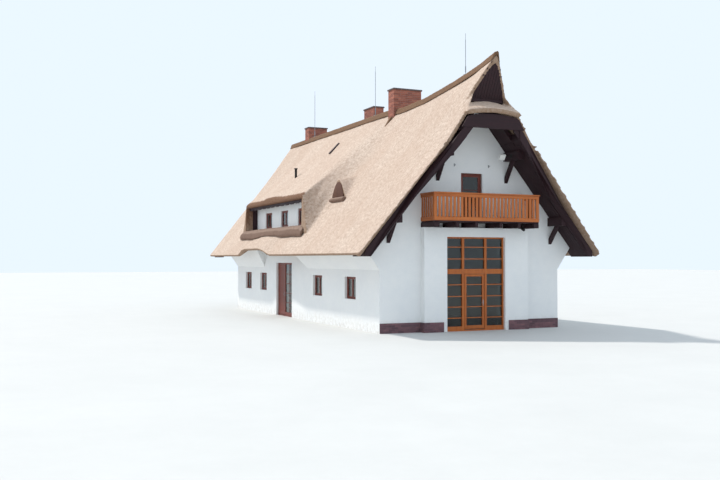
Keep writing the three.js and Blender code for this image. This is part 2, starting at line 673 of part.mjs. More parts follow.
// Brick plinth along the front
const plinthFace = (y) => y - PLINTH_THICKNESS;
add('plinth_left', extrude('xy', [
  [0, plinthFace(0)], [BAY[0] - PLINTH_THICKNESS, plinthFace(0)],
  [BAY[0] - PLINTH_THICKNESS, plinthFace(BAY_FRONT)], [GLAZING[0] - PLINTH_SETBACK, plinthFace(BAY_FRONT)],
  [GLAZING[0] - PLINTH_SETBACK, BAY_FRONT - SEAT], [BAY[0] - SEAT, BAY_FRONT - SEAT],
  [BAY[0] - SEAT, -SEAT], [0, -SEAT],
], [0, PLINTH_HEIGHT]), 'plinth');
add('plinth_right', extrude('xy', [
  [HOUSE_WIDTH, plinthFace(0)], [BAY[1] + PLINTH_THICKNESS, plinthFace(0)],
  [BAY[1] + PLINTH_THICKNESS, plinthFace(BAY_FRONT)], [GLAZING[1] + PLINTH_SETBACK, plinthFace(BAY_FRONT)],
  [GLAZING[1] + PLINTH_SETBACK, BAY_FRONT - SEAT], [BAY[1] + SEAT, BAY_FRONT - SEAT], [BAY[1] + SEAT, -SEAT],
  [HOUSE_WIDTH, -SEAT],
], [0, PLINTH_HEIGHT]), 'plinth');

// Chimneys
const chimneys = Object.entries(CHIMNEYS).map(([name, [x, y, top]]) => {
  const grow = ([a, b], by) => [a - by, b + by];
  const flue = box(grow(x, -FLUE_WALL), grow(y, -FLUE_WALL), [top - FLUE_DEPTH, top + THROUGH]);
  const stack = join(
    box(x, y, [UPPER_FLOOR_TOP + SEAT, top]),
    box(grow(x, CAP_OVERHANG), grow(y, CAP_OVERHANG), [top - CHIMNEY_CAP, top]),
  );
  return add(name, stack.subtract(flue), 'brick');
});
const shafts = Object.values(CHIMNEYS).map(([x, y, top]) => shaft(x, y, [UPPER_FLOOR_TOP, top - CHIMNEY_CAP]));

// Thatch
const pipeFoot = outerZ(VENT_PIPE.x, VENT_PIPE.y, true);
const pipeSocket = cylinder(VENT_PIPE.radius + SEAT, [VENT_PIPE.x, VENT_PIPE.y],
  [pipeFoot - VENT_PIPE.below, pipeFoot + 2 * VENT_PIPE.above]);
const dormerCavity = box([2 * HOOD_EDGE_X, CHEEK_X[1] - BARGE_INSET],
  [DORMER_MIDDLE - DORMER_HALF, DORMER_MIDDLE + DORMER_HALF],
  [SIDE_WALL_TOP, HOOD_LIP]);
const thatchLeft = shafts.reduce((roof, hole) => roof.subtract(hole), slope(true))
  .subtract(dormerCavity).subtract(pipeSocket);
const thatchRight = shafts.reduce((roof, hole) => roof.subtract(hole), mirror(slope(false)));
add('thatch_left', largest(thatchLeft), 'thatch');
add('thatch_right', largest(thatchRight), 'thatch');
const hip = add('front_hip', carve(halfHip(), [thatchLeft, thatchRight]), 'thatch');

// Ridge rolls with sockets for the rods
const [, mainY] = CHIMNEYS.chimney_main;
const sockets = Object.values(RODS).map(([y]) => {
  const top = outerZ(MIDDLE, y, false) + RIDGE_ROLL_HEIGHT;
  return cylinder(ROD_RADIUS + SEAT, [MIDDLE, y], [top - ROD_SOCKET, top + RIDGE_ROLL_HEIGHT]);
});
const rolls = { ridge_front: [null, mainY[0] - SEAT], ridge_back: [mainY[1] + SEAT, null] };
for (const [name, range] of Object.entries(rolls)) {
  const roll = carve(ridgeRoll(range), [thatchLeft, thatchRight], UPWARD);
  add(name, [...sockets, shafts[2]].reduce((rest, hole) => rest.subtract(hole), roll), 'ridge');
}

// Lightning rods and vent pipe
for (const [name, [y, top]] of Object.entries(RODS)) {
  const foot = outerZ(MIDDLE, y, false) + RIDGE_ROLL_HEIGHT - ROD_SOCKET + SEAT;
  add(name, cylinder(ROD_RADIUS, [MIDDLE, y], [foot, top]), 'metal');
}
add('vent_pipe', join(
  cylinder(VENT_PIPE.radius, [VENT_PIPE.x, VENT_PIPE.y],
    [pipeFoot - VENT_PIPE.below + SEAT, pipeFoot + VENT_PIPE.above]),
  cylinder(VENT_PIPE.radius + VENT_PIPE.collar, [VENT_PIPE.x, VENT_PIPE.y],
    [pipeFoot + VENT_PIPE.above - VENT_PIPE.collar, pipeFoot + VENT_PIPE.above]),
), 'metal');

// Timber of the verges, the collar board and the owl hole
const vergeLeft = add('verge_front_left', carve(frontVerge(), [thatchLeft]), 'timber');
const vergeRight = add('verge_front_right', carve(mirror(frontVerge()), [thatchRight]), 'timber');
add('verge_back', backVerge(), 'timber');
const collarArc = new THREE.EllipseCurve(MIDDLE, COLLAR.spring, COLLAR.half, COLLAR.rise, Math.PI, 0, true);
const collarEnd = HIP_CORNER_X - COLLAR.overlap;
const collarY = VERGE_FRONT_HIP + COLLAR.behind;
const collar = extrude('xz', [
  [collarEnd, COLLAR.foot], [mirrorX(collarEnd), COLLAR.foot],
  ...collarArc.getPoints(12).map(({ x, y }) => [x, y]).reverse(),
], [collarY, collarY + COLLAR.thickness]);
add('collar_board', carve(collar, [thatchLeft, thatchRight, hip, vergeLeft, vergeRight]), 'timber');
const owlPanel = extrude('xz', [
  [MIDDLE - OWL_PANEL.half, OWL_PANEL.foot], [MIDDLE + OWL_PANEL.half, OWL_PANEL.foot], [MIDDLE, OWL_PANEL.top],
], OWL_PANEL.y);
add('owl_hole_panel', carve(owlPanel, [thatchLeft, thatchRight, hip, vergeLeft, vergeRight]), 'timber');

// Balcony
const balconyX = BAY;
const balconyMiddle = (balconyX[0] + balconyX[1]) / 2;
const deckSpan = [-BALCONY_DEPTH, -SEAT];
const beams = BEAM_OFFSETS.map((offset) => box(
  [balconyMiddle + offset - BEAM_WIDTH / 2, balconyMiddle + offset + BEAM_WIDTH / 2],
  [30 - BALCONY_DEPTH, -SEAT], [BAY_TOP + SEAT, BALCONY_DECK[0] + 5],
));
const deckX = [balconyX[0] + RAIL_THICKNESS, balconyX[1] - RAIL_THICKNESS];
add('balcony_deck', join(box(deckX, deckSpan, BALCONY_DECK), ...beams), 'timber');

/** A slatted panel with a wider top rail and foot board. */
function railing(plane, [u0, u1], [near, far], count) {
  const foot = [BALCONY_DECK[1] + SEAT, BALCONY_DECK[1] + RAIL_BOARD];
  const top = [BALCONY_RAIL_TOP - RAIL_BOARD, BALCONY_RAIL_TOP];
  const pitch = (u1 - u0) / count;
  const holes = [];
  for (let k = 1; k < count; k += 1) {
    const middle = u0 + k * pitch;
    holes.push(rectangle([middle - SLAT_GAP / 2, middle + SLAT_GAP / 2], [foot[1], top[0]]));
  }
  const slats = extrude(plane, rectangle([u0, u1], [foot[0], top[1]]), [near, far], holes);
  const boards = [foot, top].map((z) => extrude(plane, rectangle([u0, u1], z), [near - RAIL_LIP, far + RAIL_LIP]));
  return join(slats, ...boards);
}
const railOuter = -BALCONY_DEPTH + RAIL_LIP + 5;
const railFront = [railOuter, railOuter + RAIL_THICKNESS];
add('balcony_rail_front', railing('xz', balconyX, railFront, SLATS), 'larch');
const railSide = [railFront[1] + RAIL_LIP + 5, -SEAT];
const railLeft = [balconyX[0] + RAIL_LIP + 1, balconyX[0] + RAIL_LIP + 1 + RAIL_THICKNESS];
const railRight = [balconyX[1] - RAIL_LIP - 1 - RAIL_THICKNESS, balconyX[1] - RAIL_LIP - 1];
add('balcony_rail_left', railing('yz', railSide, railLeft, SIDE_SLATS), 'larch');
add('balcony_rail_right', railing('yz', railSide, railRight, SIDE_SLATS), 'larch');

// Terrace glazing: fixed frame, its glass, and the door leaf between the posts
const columns = [
  [GLAZING[0] + FRAME_STILE, POST_LEFT[0]], [POST_LEFT[1], POST_RIGHT[0]], [POST_RIGHT[1], GLAZING[1] - FRAME_STILE],
];
const doorHole = rectangle(columns[1], [FRAME_SILL, TRANSOM[0]]);
const upperPanes = columns.flatMap((u) => paneHoles(u, [TRANSOM[1], LOWER_WALL_TOP - FRAME_STILE], UPPER_BARS));
const lowerPanes = [columns[0], columns[2]].flatMap((u) => paneHoles(u, [LOWER_PANE_FOOT, TRANSOM[0]], LOWER_BARS));
const leafY = [GLAZING_Y[0] + LEAF_SETBACK, GLAZING_Y[0] + LEAF_SETBACK + LEAF];
const terraceAxis = [POST_LEFT[1] + LEAF_GAP + LEAF / 2, (leafY[0] + leafY[1]) / 2];
const leafZ = [GROUND_FLOOR_TOP + LEAF_GAP, TRANSOM[0] - LEAF_HEADROOM];
const pinFoot = [FRAME_SILL - 1, leafZ[0] - SEAT];
const pinTop = [leafZ[1] + SEAT, TRANSOM[0] + 1];
add('terrace_window', join(
  extrude('xz', rectangle([GLAZING[0] + SEAT, GLAZING[1] - SEAT], [0, LOWER_WALL_TOP - SEAT]), GLAZING_Y,
    [doorHole, ...upperPanes, ...lowerPanes]),
  cylinder(PIN_RADIUS, terraceAxis, pinFoot),
  cylinder(PIN_RADIUS, terraceAxis, pinTop),
), 'larch');
const glassX = [GLAZING[0] + GLASS_EDGE, GLAZING[1] - GLASS_EDGE];
const glassFoot = GROUND_FLOOR_TOP + FRAME_STILE;
const glassOverDoor = TRANSOM[1] - GLASS_LAP;
add('terrace_glass', extrude('xz', [
  [glassX[0], glassFoot], [POST_LEFT[0] + GLASS_LAP, glassFoot], [POST_LEFT[0] + GLASS_LAP, glassOverDoor],
  [POST_RIGHT[1] - GLASS_LAP, glassOverDoor], [POST_RIGHT[1] - GLASS_LAP, glassFoot], [glassX[1], glassFoot],
  [glassX[1], LOWER_WALL_TOP - GLASS_EDGE], [glassX[0], LOWER_WALL_TOP - GLASS_EDGE],
], [GLAZING_Y[1] + SEAT, GLAZING_Y[1] + PANE]), 'glass');
const leafX = [POST_LEFT[1] + LEAF_GAP, POST_RIGHT[0] - LEAF_GAP];
const leafPane = [leafX[0] + LEAF_STILE, leafX[1] - LEAF_STILE];
add('terrace_door', extrude('xz', rectangle(leafX, leafZ), leafY,
  paneHoles(leafPane, [LEAF_PANE_FOOT, leafZ[1] - LEAF_STILE], LOWER_BARS)), 'larch');
add('terrace_door_glass', extrude('xz', rectangle(
  [leafPane[0] - PANE_LAP, leafPane[1] + PANE_LAP], [LEAF_PANE_FOOT - PANE_LAP, leafZ[1] - LEAF_STILE + PANE_LAP],
), [leafY[1] + SEAT, leafY[1] + PANE]), 'glass');

// Entrance: fixed frame with a glazed sidelight, and the solid leaf
const entranceLeafX = [ENTRANCE_X[0] + ENTRANCE_REBATE, ENTRANCE_X[0] + ENTRANCE_REBATE + LEAF];
const entranceAxis = [(entranceLeafX[0] + entranceLeafX[1]) / 2, ENTRANCE_LEAF_Y[1] - LEAF / 2];
const entranceHead = ENTRANCE_LEAF_TOP + LEAF_HEADROOM;
const entranceDoorHole = rectangle(
  [ENTRANCE_LEAF_Y[0] - LEAF_GAP, ENTRANCE_LEAF_Y[1] + LEAF_GAP], [FRAME_SILL, entranceHead],
);
const sidelight = [ENTRANCE[0] + FRAME_STILE, ENTRANCE_LEAF_Y[0] - LEAF_GAP - FRAME_STILE];
const sidelightPanes = paneHoles(sidelight, [SIDELIGHT_FOOT, ENTRANCE_LEAF_TOP], SIDELIGHT_BARS);
const sidelightMiddle = (ENTRANCE_X[0] + ENTRANCE_X[1]) / 2;
add('entrance_frame', join(
  extrude('yz', rectangle([ENTRANCE[0] + SEAT, ENTRANCE[1] - SEAT], [0, ENTRANCE_TOP - SEAT]), ENTRANCE_X,
    [entranceDoorHole, ...sidelightPanes]),
  extrude('yz', rectangle([sidelight[0] - PANE_LAP, sidelight[1] + PANE_LAP],
    [SIDELIGHT_FOOT - PANE_LAP, ENTRANCE_LEAF_TOP + PANE_LAP]),
  [sidelightMiddle - PANE / 2, sidelightMiddle + PANE / 2]),
  cylinder(PIN_RADIUS, entranceAxis, pinFoot),
  cylinder(PIN_RADIUS, entranceAxis, [ENTRANCE_LEAF_TOP + SEAT, entranceHead + 1]),
), 'redwood');
add('entrance_door', box(entranceLeafX, ENTRANCE_LEAF_Y, [leafZ[0], ENTRANCE_LEAF_TOP]), 'redwood');

// Small windows in the side, gable and back walls
const leftSash = [REVEAL, REVEAL + SASH_DEPTH];
const rightSash = [HOUSE_WIDTH - REVEAL - SASH_DEPTH, HOUSE_WIDTH - REVEAL];
[...SIDE_WINDOWS_FRONT, ...SIDE_WINDOWS_BACK].forEach((y, k) => {
  add(`window_left_${k + 1}`, sideSash(y, leftSash), 'redwood');
});
SIDE_WINDOWS_RIGHT.forEach((y, k) => add(`window_right_${k + 1}`, sideSash(y, rightSash), 'redwood'));
add('balcony_door', sash('xz', GABLE_DOOR, [UPPER_FLOOR_TOP, GABLE_DOOR_TOP], leftSash), 'redwood');
const backSash = [HOUSE_LENGTH - REVEAL - SASH_DEPTH, HOUSE_LENGTH - REVEAL];
add('window_back_lower', sash('xz', BACK_WINDOW, SIDE_WINDOW_Z, backSash, { columns: [MIDDLE] }), 'redwood');
add('window_back_upper', sash('xz', GABLE_DOOR, [BACK_WINDOW_UPPER_SILL, GABLE_DOOR_TOP], backSash), 'redwood');

// Wide dormer
const dormerEnds = [DORMER_MIDDLE - DORMER_HALF + SEAT, DORMER_MIDDLE + DORMER_HALF - SEAT];
const dormerHoles = DORMER_WINDOWS.map((y) => [y - DORMER_WINDOW.width / 2, y + DORMER_WINDOW.width / 2]);
const dormerZ = [DORMER_WINDOW.sill, DORMER_WINDOW.top];
const scallopPitch = (dormerEnds[1] - dormerEnds[0]) / SCALLOPS;
const valance = [[dormerEnds[0], HOOD_LIP - SEAT]];
for (let k = 0; k < SCALLOPS; k += 1) {
  const start = dormerEnds[0] + k * scallopPitch;
  valance.push([start, HOOD_LIP - VALANCE_DEPTH / 2]);
  valance.push([start + scallopPitch * 0.25, HOOD_LIP - VALANCE_DEPTH]);
  valance.push([start + scallopPitch * 0.75, HOOD_LIP - VALANCE_DEPTH]);
}
valance.push([dormerEnds[1], HOOD_LIP - VALANCE_DEPTH / 2], [dormerEnds[1], HOOD_LIP - SEAT]);
const cheekZ = [SIDE_WALL_TOP + SEAT, HOOD_LIP - SEAT];
const cheeksY = [[dormerEnds[0], dormerEnds[0] + CHEEK_THICKNESS], [dormerEnds[1] - CHEEK_THICKNESS, dormerEnds[1]]];
const dormerTimber = join(
  extrude('yz', valance, VALANCE_X),
  box([VALANCE_X[0] - 5, CHEEK_X[1]], dormerEnds, [HOOD_LIP - CHEEK_THICKNESS, HOOD_LIP - SEAT]),
  ...cheeksY.map((y) => box(CHEEK_X, y, cheekZ)),
);
add('dormer_timber', dormerTimber, 'timber');
const dormerWall = extrude('yz', rectangle(dormerEnds, [SIDE_WALL_TOP + SEAT, DORMER_WALL_TOP]), DORMER_WALL_X,
  dormerHoles.map((y) => rectangle(y, dormerZ)));
add('dormer_wall', carve(dormerWall, [thatchLeft]), 'render');
const dormerSash = [DORMER_WALL_X[0] + SASH_DEPTH, DORMER_WALL_X[0] + 2 * SASH_DEPTH];
dormerHoles.forEach((y, k) => add(`window_dormer_${k + 1}`, sash('yz', y, dormerZ, dormerSash), 'redwood'));

/** The thick reed roll that closes the foot of the dormer, with its lower edge waved. */
function dormerSill() {
  const [first, last] = SILL_ENDS;
  const stations = [first, 6900, 8000, 9300, 10300, 11000, 12200, 13400, 14100, 14800, 15700, last];
  return loft(stations.map((y) => {
    const end = Math.min(1, (y - first) / SILL_TAPER.length, (last - y) / SILL_TAPER.length);
    const wave = SILL_WAVE.height * Math.sin((y - first) / SILL_WAVE.length);
    const lift = 0.6 * eyebrow(-700, y) + wave;
    const fall = SILL_TAPER.fall * (1 - end);
    const outside = [[-680, planeZ(-680) - 60 + lift], [-740, planeZ(-680) + 100 + lift],
      [-700, 4090 + lift * 0.5 - fall], [-580, 4230 - fall], [80, 4340 - fall]];
    const under = [[80, SIDE_WALL_TOP + 2 * SEAT], [-400, SIDE_WALL_TOP + 2 * SEAT], [-500, 3800]];
    return [...outside, ...under].map(([x, z]) => point(x, y, z));
  }));
}
const sillOnRoof = carve(dormerSill(), [thatchLeft], OFF_LEFT_SLOPE);
const cheekSockets = cheeksY.map((y) => shaft(CHEEK_X, y, [SIDE_WALL_TOP, HOOD_LIP]));
const sillWithSockets = cheekSockets.reduce((roll, hole) => roll.subtract(hole), sillOnRoof);
add('dormer_sill', largest(sillWithSockets.simplify(CARVE_TOLERANCE)), 'ridge');

// Small triangular dormer with its own sill roll
function smallDormer() {
  const { x, y, sill, top, half, backX } = SMALL_DORMER;
  const profile = [[-1, 0], [-0.64, 0.46], [-0.22, 0.89], [0, 1], [0.22, 0.89], [0.64, 0.46], [1, 0]];
  const ring = (at, foot, height, width) => (
    profile.map(([u, v]) => point(at, y + u * width, foot + v * height))
  );
  const hood = loft([
    ring(x, sill, top - sill, half), ring(backX, planeZ(backX) - 200, 170, half / 4),
  ], ['y', 'z']);
  const foot = sill + SMALL_RECESS.foot;
  const recess = extrude('yz', [
    [y - SMALL_RECESS.half, foot], [y + SMALL_RECESS.half, foot], [y, top - SMALL_RECESS.below],
  ], SMALL_RECESS.x.map((offset) => x + offset));
  const roll = new THREE.CylinderGeometry(SMALL_ROLL.radius, SMALL_ROLL.radius, SMALL_ROLL.length, 12);
  roll.translate(x - SMALL_ROLL.radius / 2, y + SMALL_ROLL.shift, sill + SMALL_ROLL.above);
  return join(hood.subtract(recess), solidFrom(roll));
}
add('small_dormer', carve(smallDormer(), [thatchLeft], OFF_LEFT_SLOPE), 'thatch');

// Scene: the house is moved so that the origin lies under the middle of its bounding box
const house = new THREE.Group();
house.position.set(-MIDDLE, -(VERGE_BACK_RIDGE + VERGE_FRONT_APEX) / 2, 0);
for (const { name, solid, look } of pieces) {
  const mesh = new THREE.Mesh(geometryFrom(solid), new THREE.MeshStandardMaterial(COLOURS[look]));
  mesh.name = name;
  house.add(mesh);
}
const cottage = new THREE.Group();
cottage.add(house);

export default cottage;
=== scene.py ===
"""Looks of a thatched cottage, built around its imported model.

Lengths are metres. House coordinates start at the front left corner of the outer walls at
ground level, with x to the right, y to the back and z up; at() turns them into the model's
own frame.
"""

import logging
import math
import random
from dataclasses import dataclass
from enum import Enum
from typing import Callable, Sequence, Union

import bpy
from mathutils import Matrix, Vector

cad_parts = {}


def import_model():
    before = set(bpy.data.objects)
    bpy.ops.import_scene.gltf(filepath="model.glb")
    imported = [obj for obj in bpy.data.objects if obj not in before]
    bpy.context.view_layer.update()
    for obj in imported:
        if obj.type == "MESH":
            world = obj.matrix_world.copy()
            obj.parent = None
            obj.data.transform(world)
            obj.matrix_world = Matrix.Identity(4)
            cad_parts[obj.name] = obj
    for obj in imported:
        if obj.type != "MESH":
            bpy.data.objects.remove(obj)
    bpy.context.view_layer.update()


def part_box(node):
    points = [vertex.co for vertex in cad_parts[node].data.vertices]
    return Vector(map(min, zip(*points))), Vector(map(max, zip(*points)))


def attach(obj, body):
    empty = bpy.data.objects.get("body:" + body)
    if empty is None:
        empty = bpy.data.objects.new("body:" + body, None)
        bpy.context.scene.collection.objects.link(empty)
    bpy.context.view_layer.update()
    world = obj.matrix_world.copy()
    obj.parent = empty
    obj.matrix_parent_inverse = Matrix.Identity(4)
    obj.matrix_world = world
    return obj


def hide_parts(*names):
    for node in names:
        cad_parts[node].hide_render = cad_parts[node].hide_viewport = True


LOG = logging.getLogger("cottage")

Piece = bpy.types.Object
Node = bpy.types.Node
Socket = bpy.types.NodeSocket
Tree = bpy.types.NodeTree
Vertex = bpy.types.MeshVertex
Colour = tuple[float, float, float, float]
Source = Union[Socket, float, tuple]
Range = tuple[float, float]

CORNER = Vector((-4.0, -9.525, 0.0))  # where house coordinates start in the model's frame
EAVE_X, EAVE_Z, PITCH = -1.31, 2.98, 1.22  # the left thatch face
SOFFIT_AT_WALL, SOFFIT_PITCH = 3.974, 1.206
MIDDLE_X = 4.0  # the ridge
SLOPE_ANGLE = math.atan2(1.0, PITCH)
FINE_EDGE = 0.004


def at(x: float, y: float, z: float) -> Vector:
    """Turns house coordinates into the model's frame."""
    return Vector((x, y, z)) + CORNER


def roof_z(x: float) -> float:
    """Height of the plain left thatch face over a house x."""
    return EAVE_Z + PITCH * (x - EAVE_X)


def soffit_z(x: float) -> float:
    """Height of the left soffit's underside over a house x."""
    return SOFFIT_AT_WALL + SOFFIT_PITCH * x


def clamped(value: float) -> float:
    """A value kept between 0 and 1."""
    return min(1.0, max(0.0, value))


def within(value: float, span: Range) -> bool:
    """Whether a value lies between two others."""
    return span[0] < value < span[1]


def tone(red: int, green: int, blue: int) -> Colour:
    """Turns a colour of 0 to 255 per channel, as seen, into linear light."""
    def straight(value: int) -> float:
        """One channel."""
        share = value / 255
        return share / 12.92 if share <= 0.04045 else ((share + 0.055) / 1.055) ** 2.4
    return straight(red), straight(green), straight(blue), 1.0


# Modelling by hand


def clear_selection() -> None:
    """Leaves edit mode and deselects everything."""
    if bpy.context.mode != "OBJECT":
        bpy.ops.object.mode_set(mode="OBJECT")
    bpy.ops.object.select_all(action="DESELECT")


def pick(*objects: Piece) -> Piece:
    """Selects only these objects and makes the first one active, which it returns."""
    clear_selection()
    for item in objects:
        item.select_set(True)
    bpy.context.view_layer.objects.active = objects[0]
    return objects[0]


def settle(piece: Piece) -> Piece:
    """Applies place, turn and size, so that the object sits at the origin."""
    pick(piece)
    bpy.ops.object.transform_apply(location=True, rotation=True, scale=True)
    return piece


def named(piece: Piece, name: str) -> Piece:
    """Gives an object and its mesh the same name."""
    piece.name = piece.data.name = name
    return piece


def edit_all(piece: Piece, step: Callable[[], object]) -> None:
    """Runs one edit mode step on the whole mesh."""
    pick(piece)
    bpy.ops.object.mode_set(mode="EDIT")
    bpy.ops.mesh.select_all(action="SELECT")
    step()
    bpy.ops.object.mode_set(mode="OBJECT")


def block(name: str, low: Sequence[float], high: Sequence[float], edge: float = 0.0) -> Piece:
    """A squared timber or stone with broken edges.

    Args:
        name: the object's name.
        low: its lowest corner.
        high: its highest corner.
        edge: width of the broken edges.

    Returns:
        The new object.
    """
    clear_selection()
    low, high = Vector(low), Vector(high)
    bpy.ops.mesh.primitive_cube_add(size=1.0, location=(low + high) / 2)
    piece = named(bpy.context.object, name)
    piece.scale = high - low
    settle(piece)
    if edge > 0:
        edit_all(piece, lambda: bpy.ops.mesh.bevel(
            offset_type="OFFSET", offset=edge, segments=1, affect="EDGES"))
    return piece


def bar(name: str, x: Range, y: Range, z: Range, edge: float = 0.0) -> Piece:
    """A block between two places on each axis."""
    return block(name, *zip(x, y, z), edge)


def round_bar(name: str, foot: Vector, top: Vector, radius: float, sides: int) -> Piece:
    """A round bar between two points.

    Args:
        name: the object's name.
        foot: middle of its first end.
        top: middle of its other end.
        radius: its radius.
        sides: number of flats round it.

    Returns:
        The new object.
    """
    clear_selection()
    run = top - foot
    bpy.ops.mesh.primitive_cylinder_add(vertices=sides, radius=radius, depth=run.length,
                                        location=(foot + top) / 2)
    piece = named(bpy.context.object, name)
    piece.rotation_mode = "QUATERNION"
    piece.rotation_quaternion = run.to_track_quat("Z", "Y")
    return settle(piece)


def uprights(box: tuple[Vector, Vector], sides: int, *bars: tuple[float, float, float]) -> list[Piece]:
    """Round bars up the middle of a box, each with its foot, its top and its radius."""
    x, y = (box[0].x + box[1].x) / 2, (box[0].y + box[1].y) / 2
    return [round_bar("bar", Vector((x, y, foot)), Vector((x, y, top)), radius, sides)
            for foot, top, radius in bars]


def along(run: Vector, middle: Vector) -> Matrix:
    """Turns the y axis along a run and carries the origin to its middle."""
    return Matrix.Translation(middle) @ run.to_track_quat("Y", "Z").to_matrix().to_4x4()


def tapered(name: str, ends: tuple[Vector, Vector], wide: float, tall: Range, edge: float,
            narrow: Callable[[Vector], Sequence[float]]) -> Piece:
    """A bar between two points that narrows towards the first.

    Args:
        name: the object's name.
        ends: its lower and its upper end.
        wide: half its width.
        tall: its underside and top, from the line between the ends.
        edge: width of the broken edges.
        narrow: gives a corner of the lower end its new place.

    Returns:
        The new object.
    """
    run = ends[1] - ends[0]
    half = run.length / 2
    piece = bar(name, (-wide, wide), (-half, half), tall, edge)
    for vertex in piece.data.vertices:
        if vertex.co.y < 0:
            vertex.co = narrow(vertex.co)
    piece.data.transform(along(run, (ends[0] + ends[1]) / 2))
    return piece


def twin(master: Piece, name: str, matrix: Matrix) -> Piece:
    """A copy with its own mesh, moved by a matrix."""
    copy = master.copy()
    copy.data = master.data.copy()
    named(copy, name)
    copy.data.transform(matrix)
    bpy.context.scene.collection.objects.link(copy)
    return copy


def joined(name: str, pieces: Sequence[Piece]) -> Piece:
    """Joins pieces, which are used up, into one object at the origin."""
    whole = pick(*pieces)
    if len(pieces) > 1:
        bpy.ops.object.join()
    return settle(named(whole, name))


def drop(*pieces: Piece) -> None:
    """Deletes helpers that aren't part of the house."""
    for piece in pieces:
        bpy.data.objects.remove(piece)


def copy_of_nodes(name: str, *nodes: str) -> Piece:
    """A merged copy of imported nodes, free to be reshaped.

    Args:
        name: the copy's name.
        nodes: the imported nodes.

    Returns:
        The copy, in place.
    """
    copies = []
    for node in nodes:
        copy = bpy.data.objects.new(name, bpy.data.objects[node].data.copy())
        bpy.context.scene.collection.objects.link(copy)
        copy.data.materials.clear()
        copies.append(copy)
    whole = joined(name, copies)
    edit_all(whole, lambda: bpy.ops.mesh.remove_doubles(threshold=0.0001))
    pick(whole)
    bpy.ops.mesh.customdata_custom_splitnormals_clear()
    bpy.ops.object.shade_flat()
    return whole


def apply_modifier(piece: Piece, kind: str, **settings: object) -> None:
    """Adds one modifier, sets its values and applies it."""
    pick(piece)
    modifier = piece.modifiers.new(kind.title(), kind)
    for key, value in settings.items():
        setattr(modifier, key, value)
    bpy.ops.object.modifier_apply(modifier=modifier.name)


def rounded(piece: Piece, width: float, segments: int = 2) -> None:
    """Rounds the sharp edges of a finished shape."""
    apply_modifier(piece, "BEVEL", width=width, segments=segments, limit_method="ANGLE")


def remesh(piece: Piece, voxel: float) -> None:
    """Melts everything in a mesh into one skin."""
    apply_modifier(piece, "REMESH", mode="VOXEL", voxel_size=voxel)


def relax(piece: Piece, rounds: int, group: str = "") -> None:
    """Evens out a surface, or only where a vertex group says so."""
    apply_modifier(piece, "SMOOTH", factor=0.5, iterations=rounds, vertex_group=group)


def softened_copy(name: str, node: str, edge: float) -> Piece:
    """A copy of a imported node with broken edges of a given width."""
    piece = copy_of_nodes(name, node)
    edit_all(piece, lambda: bpy.ops.mesh.tris_convert_to_quads(
        face_threshold=math.radians(0.5), shape_threshold=math.pi))
    apply_modifier(piece, "BEVEL", width=edge, segments=1, limit_method="ANGLE",
                   angle_limit=math.radians(40), use_clamp_overlap=True)
    return piece


def sink(piece: Piece, side: Vector, rim: float, depth: float) -> None:
    """Sinks the face that looks to one side and leaves a rim round it."""
    pick(piece)
    bpy.ops.object.mode_set(mode="EDIT")
    bpy.ops.mesh.select_all(action="DESELECT")
    bpy.ops.object.mode_set(mode="OBJECT")
    for face in piece.data.polygons:
        face.select = face.normal.dot(side) > 0.99
    bpy.ops.object.mode_set(mode="EDIT")
    bpy.ops.mesh.inset(thickness=rim)
    bpy.ops.mesh.extrude_region_move(TRANSFORM_OT_translate={"value": tuple(-depth * side)})
    bpy.ops.object.mode_set(mode="OBJECT")


def smooth(piece: Piece, angle: float = 180.0) -> None:
    """Smooths the shading across edges flatter than an angle in degrees."""
    pick(piece)
    if angle >= 180.0:
        bpy.ops.object.shade_smooth()
    else:
        bpy.ops.object.shade_smooth_by_angle(angle=math.radians(angle))


def ruffle(piece: Piece, size: float, depth: float, level: float = 0.85, group: str = "") -> None:
    """Pushes a surface in and out by a cloudy pattern.

    Args:
        piece: the object.
        size: size of the swellings.
        depth: how far they reach.
        level: the pattern value that stays in place.
        group: the vertex group that it works on; none works on everything.
    """
    clouds = bpy.data.textures.new(f"{piece.name}_clouds", "CLOUDS")
    clouds.noise_scale = size
    clouds.noise_depth = 3
    apply_modifier(piece, "DISPLACE", texture=clouds, strength=depth, mid_level=level,
                   vertex_group=group)


def mark(piece: Piece, name: str, share: Callable[[Vertex], float]) -> str:
    """Writes each vertex's share, from 0 to 1, in a new vertex group and returns its name."""
    group = piece.vertex_groups.new(name=name)
    for vertex in piece.data.vertices:
        weight = share(vertex)
        if weight > 0.0:
            group.add([vertex.index], weight, "REPLACE")
    return group.name


def lay(master: Piece, corner: Sequence[float], size: Sequence[float],
        chance: random.Random) -> Piece:
    """Places one brick and writes its own shade on it.

    Args:
        master: a unit block.
        corner: the brick's lowest corner in house coordinates.
        size: its size.
        chance: where its shade comes from.

    Returns:
        The brick.
    """
    brick = twin(master, master.name, Matrix.Translation(at(*corner)) @ Matrix.Diagonal((*size, 1.0)))
    layer = brick.data.attributes.new("shade", "FLOAT", "POINT")
    layer.data.foreach_set("value", [chance.random()] * len(brick.data.vertices))
    return brick


def clothe(piece: Piece, finish: "Finish") -> None:
    """Makes a finish the only material of a piece."""
    piece.data.materials.clear()
    piece.data.materials.append(finish.make())


def hand_over(piece: Piece, finish: "Finish", body: str = "house",
              nodes: Sequence[str] = ()) -> None:
    """Dresses a finished piece and fixes it to its body.

    Args:
        piece: the finished object.
        finish: its finish.
        body: the body it moves with.
        nodes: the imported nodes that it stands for.
    """
    clothe(piece, finish)
    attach(piece, body)
    if nodes:
        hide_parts(*nodes)
    LOG.info("%s: %d faces", piece.name, len(piece.data.polygons))


def dress(finish: "Finish", *nodes: str) -> None:
    """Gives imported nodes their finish."""
    for node in nodes:
        clothe(bpy.data.objects[node], finish)
        LOG.info("%s: packed node, %s", node, finish.name)


# Shader wiring


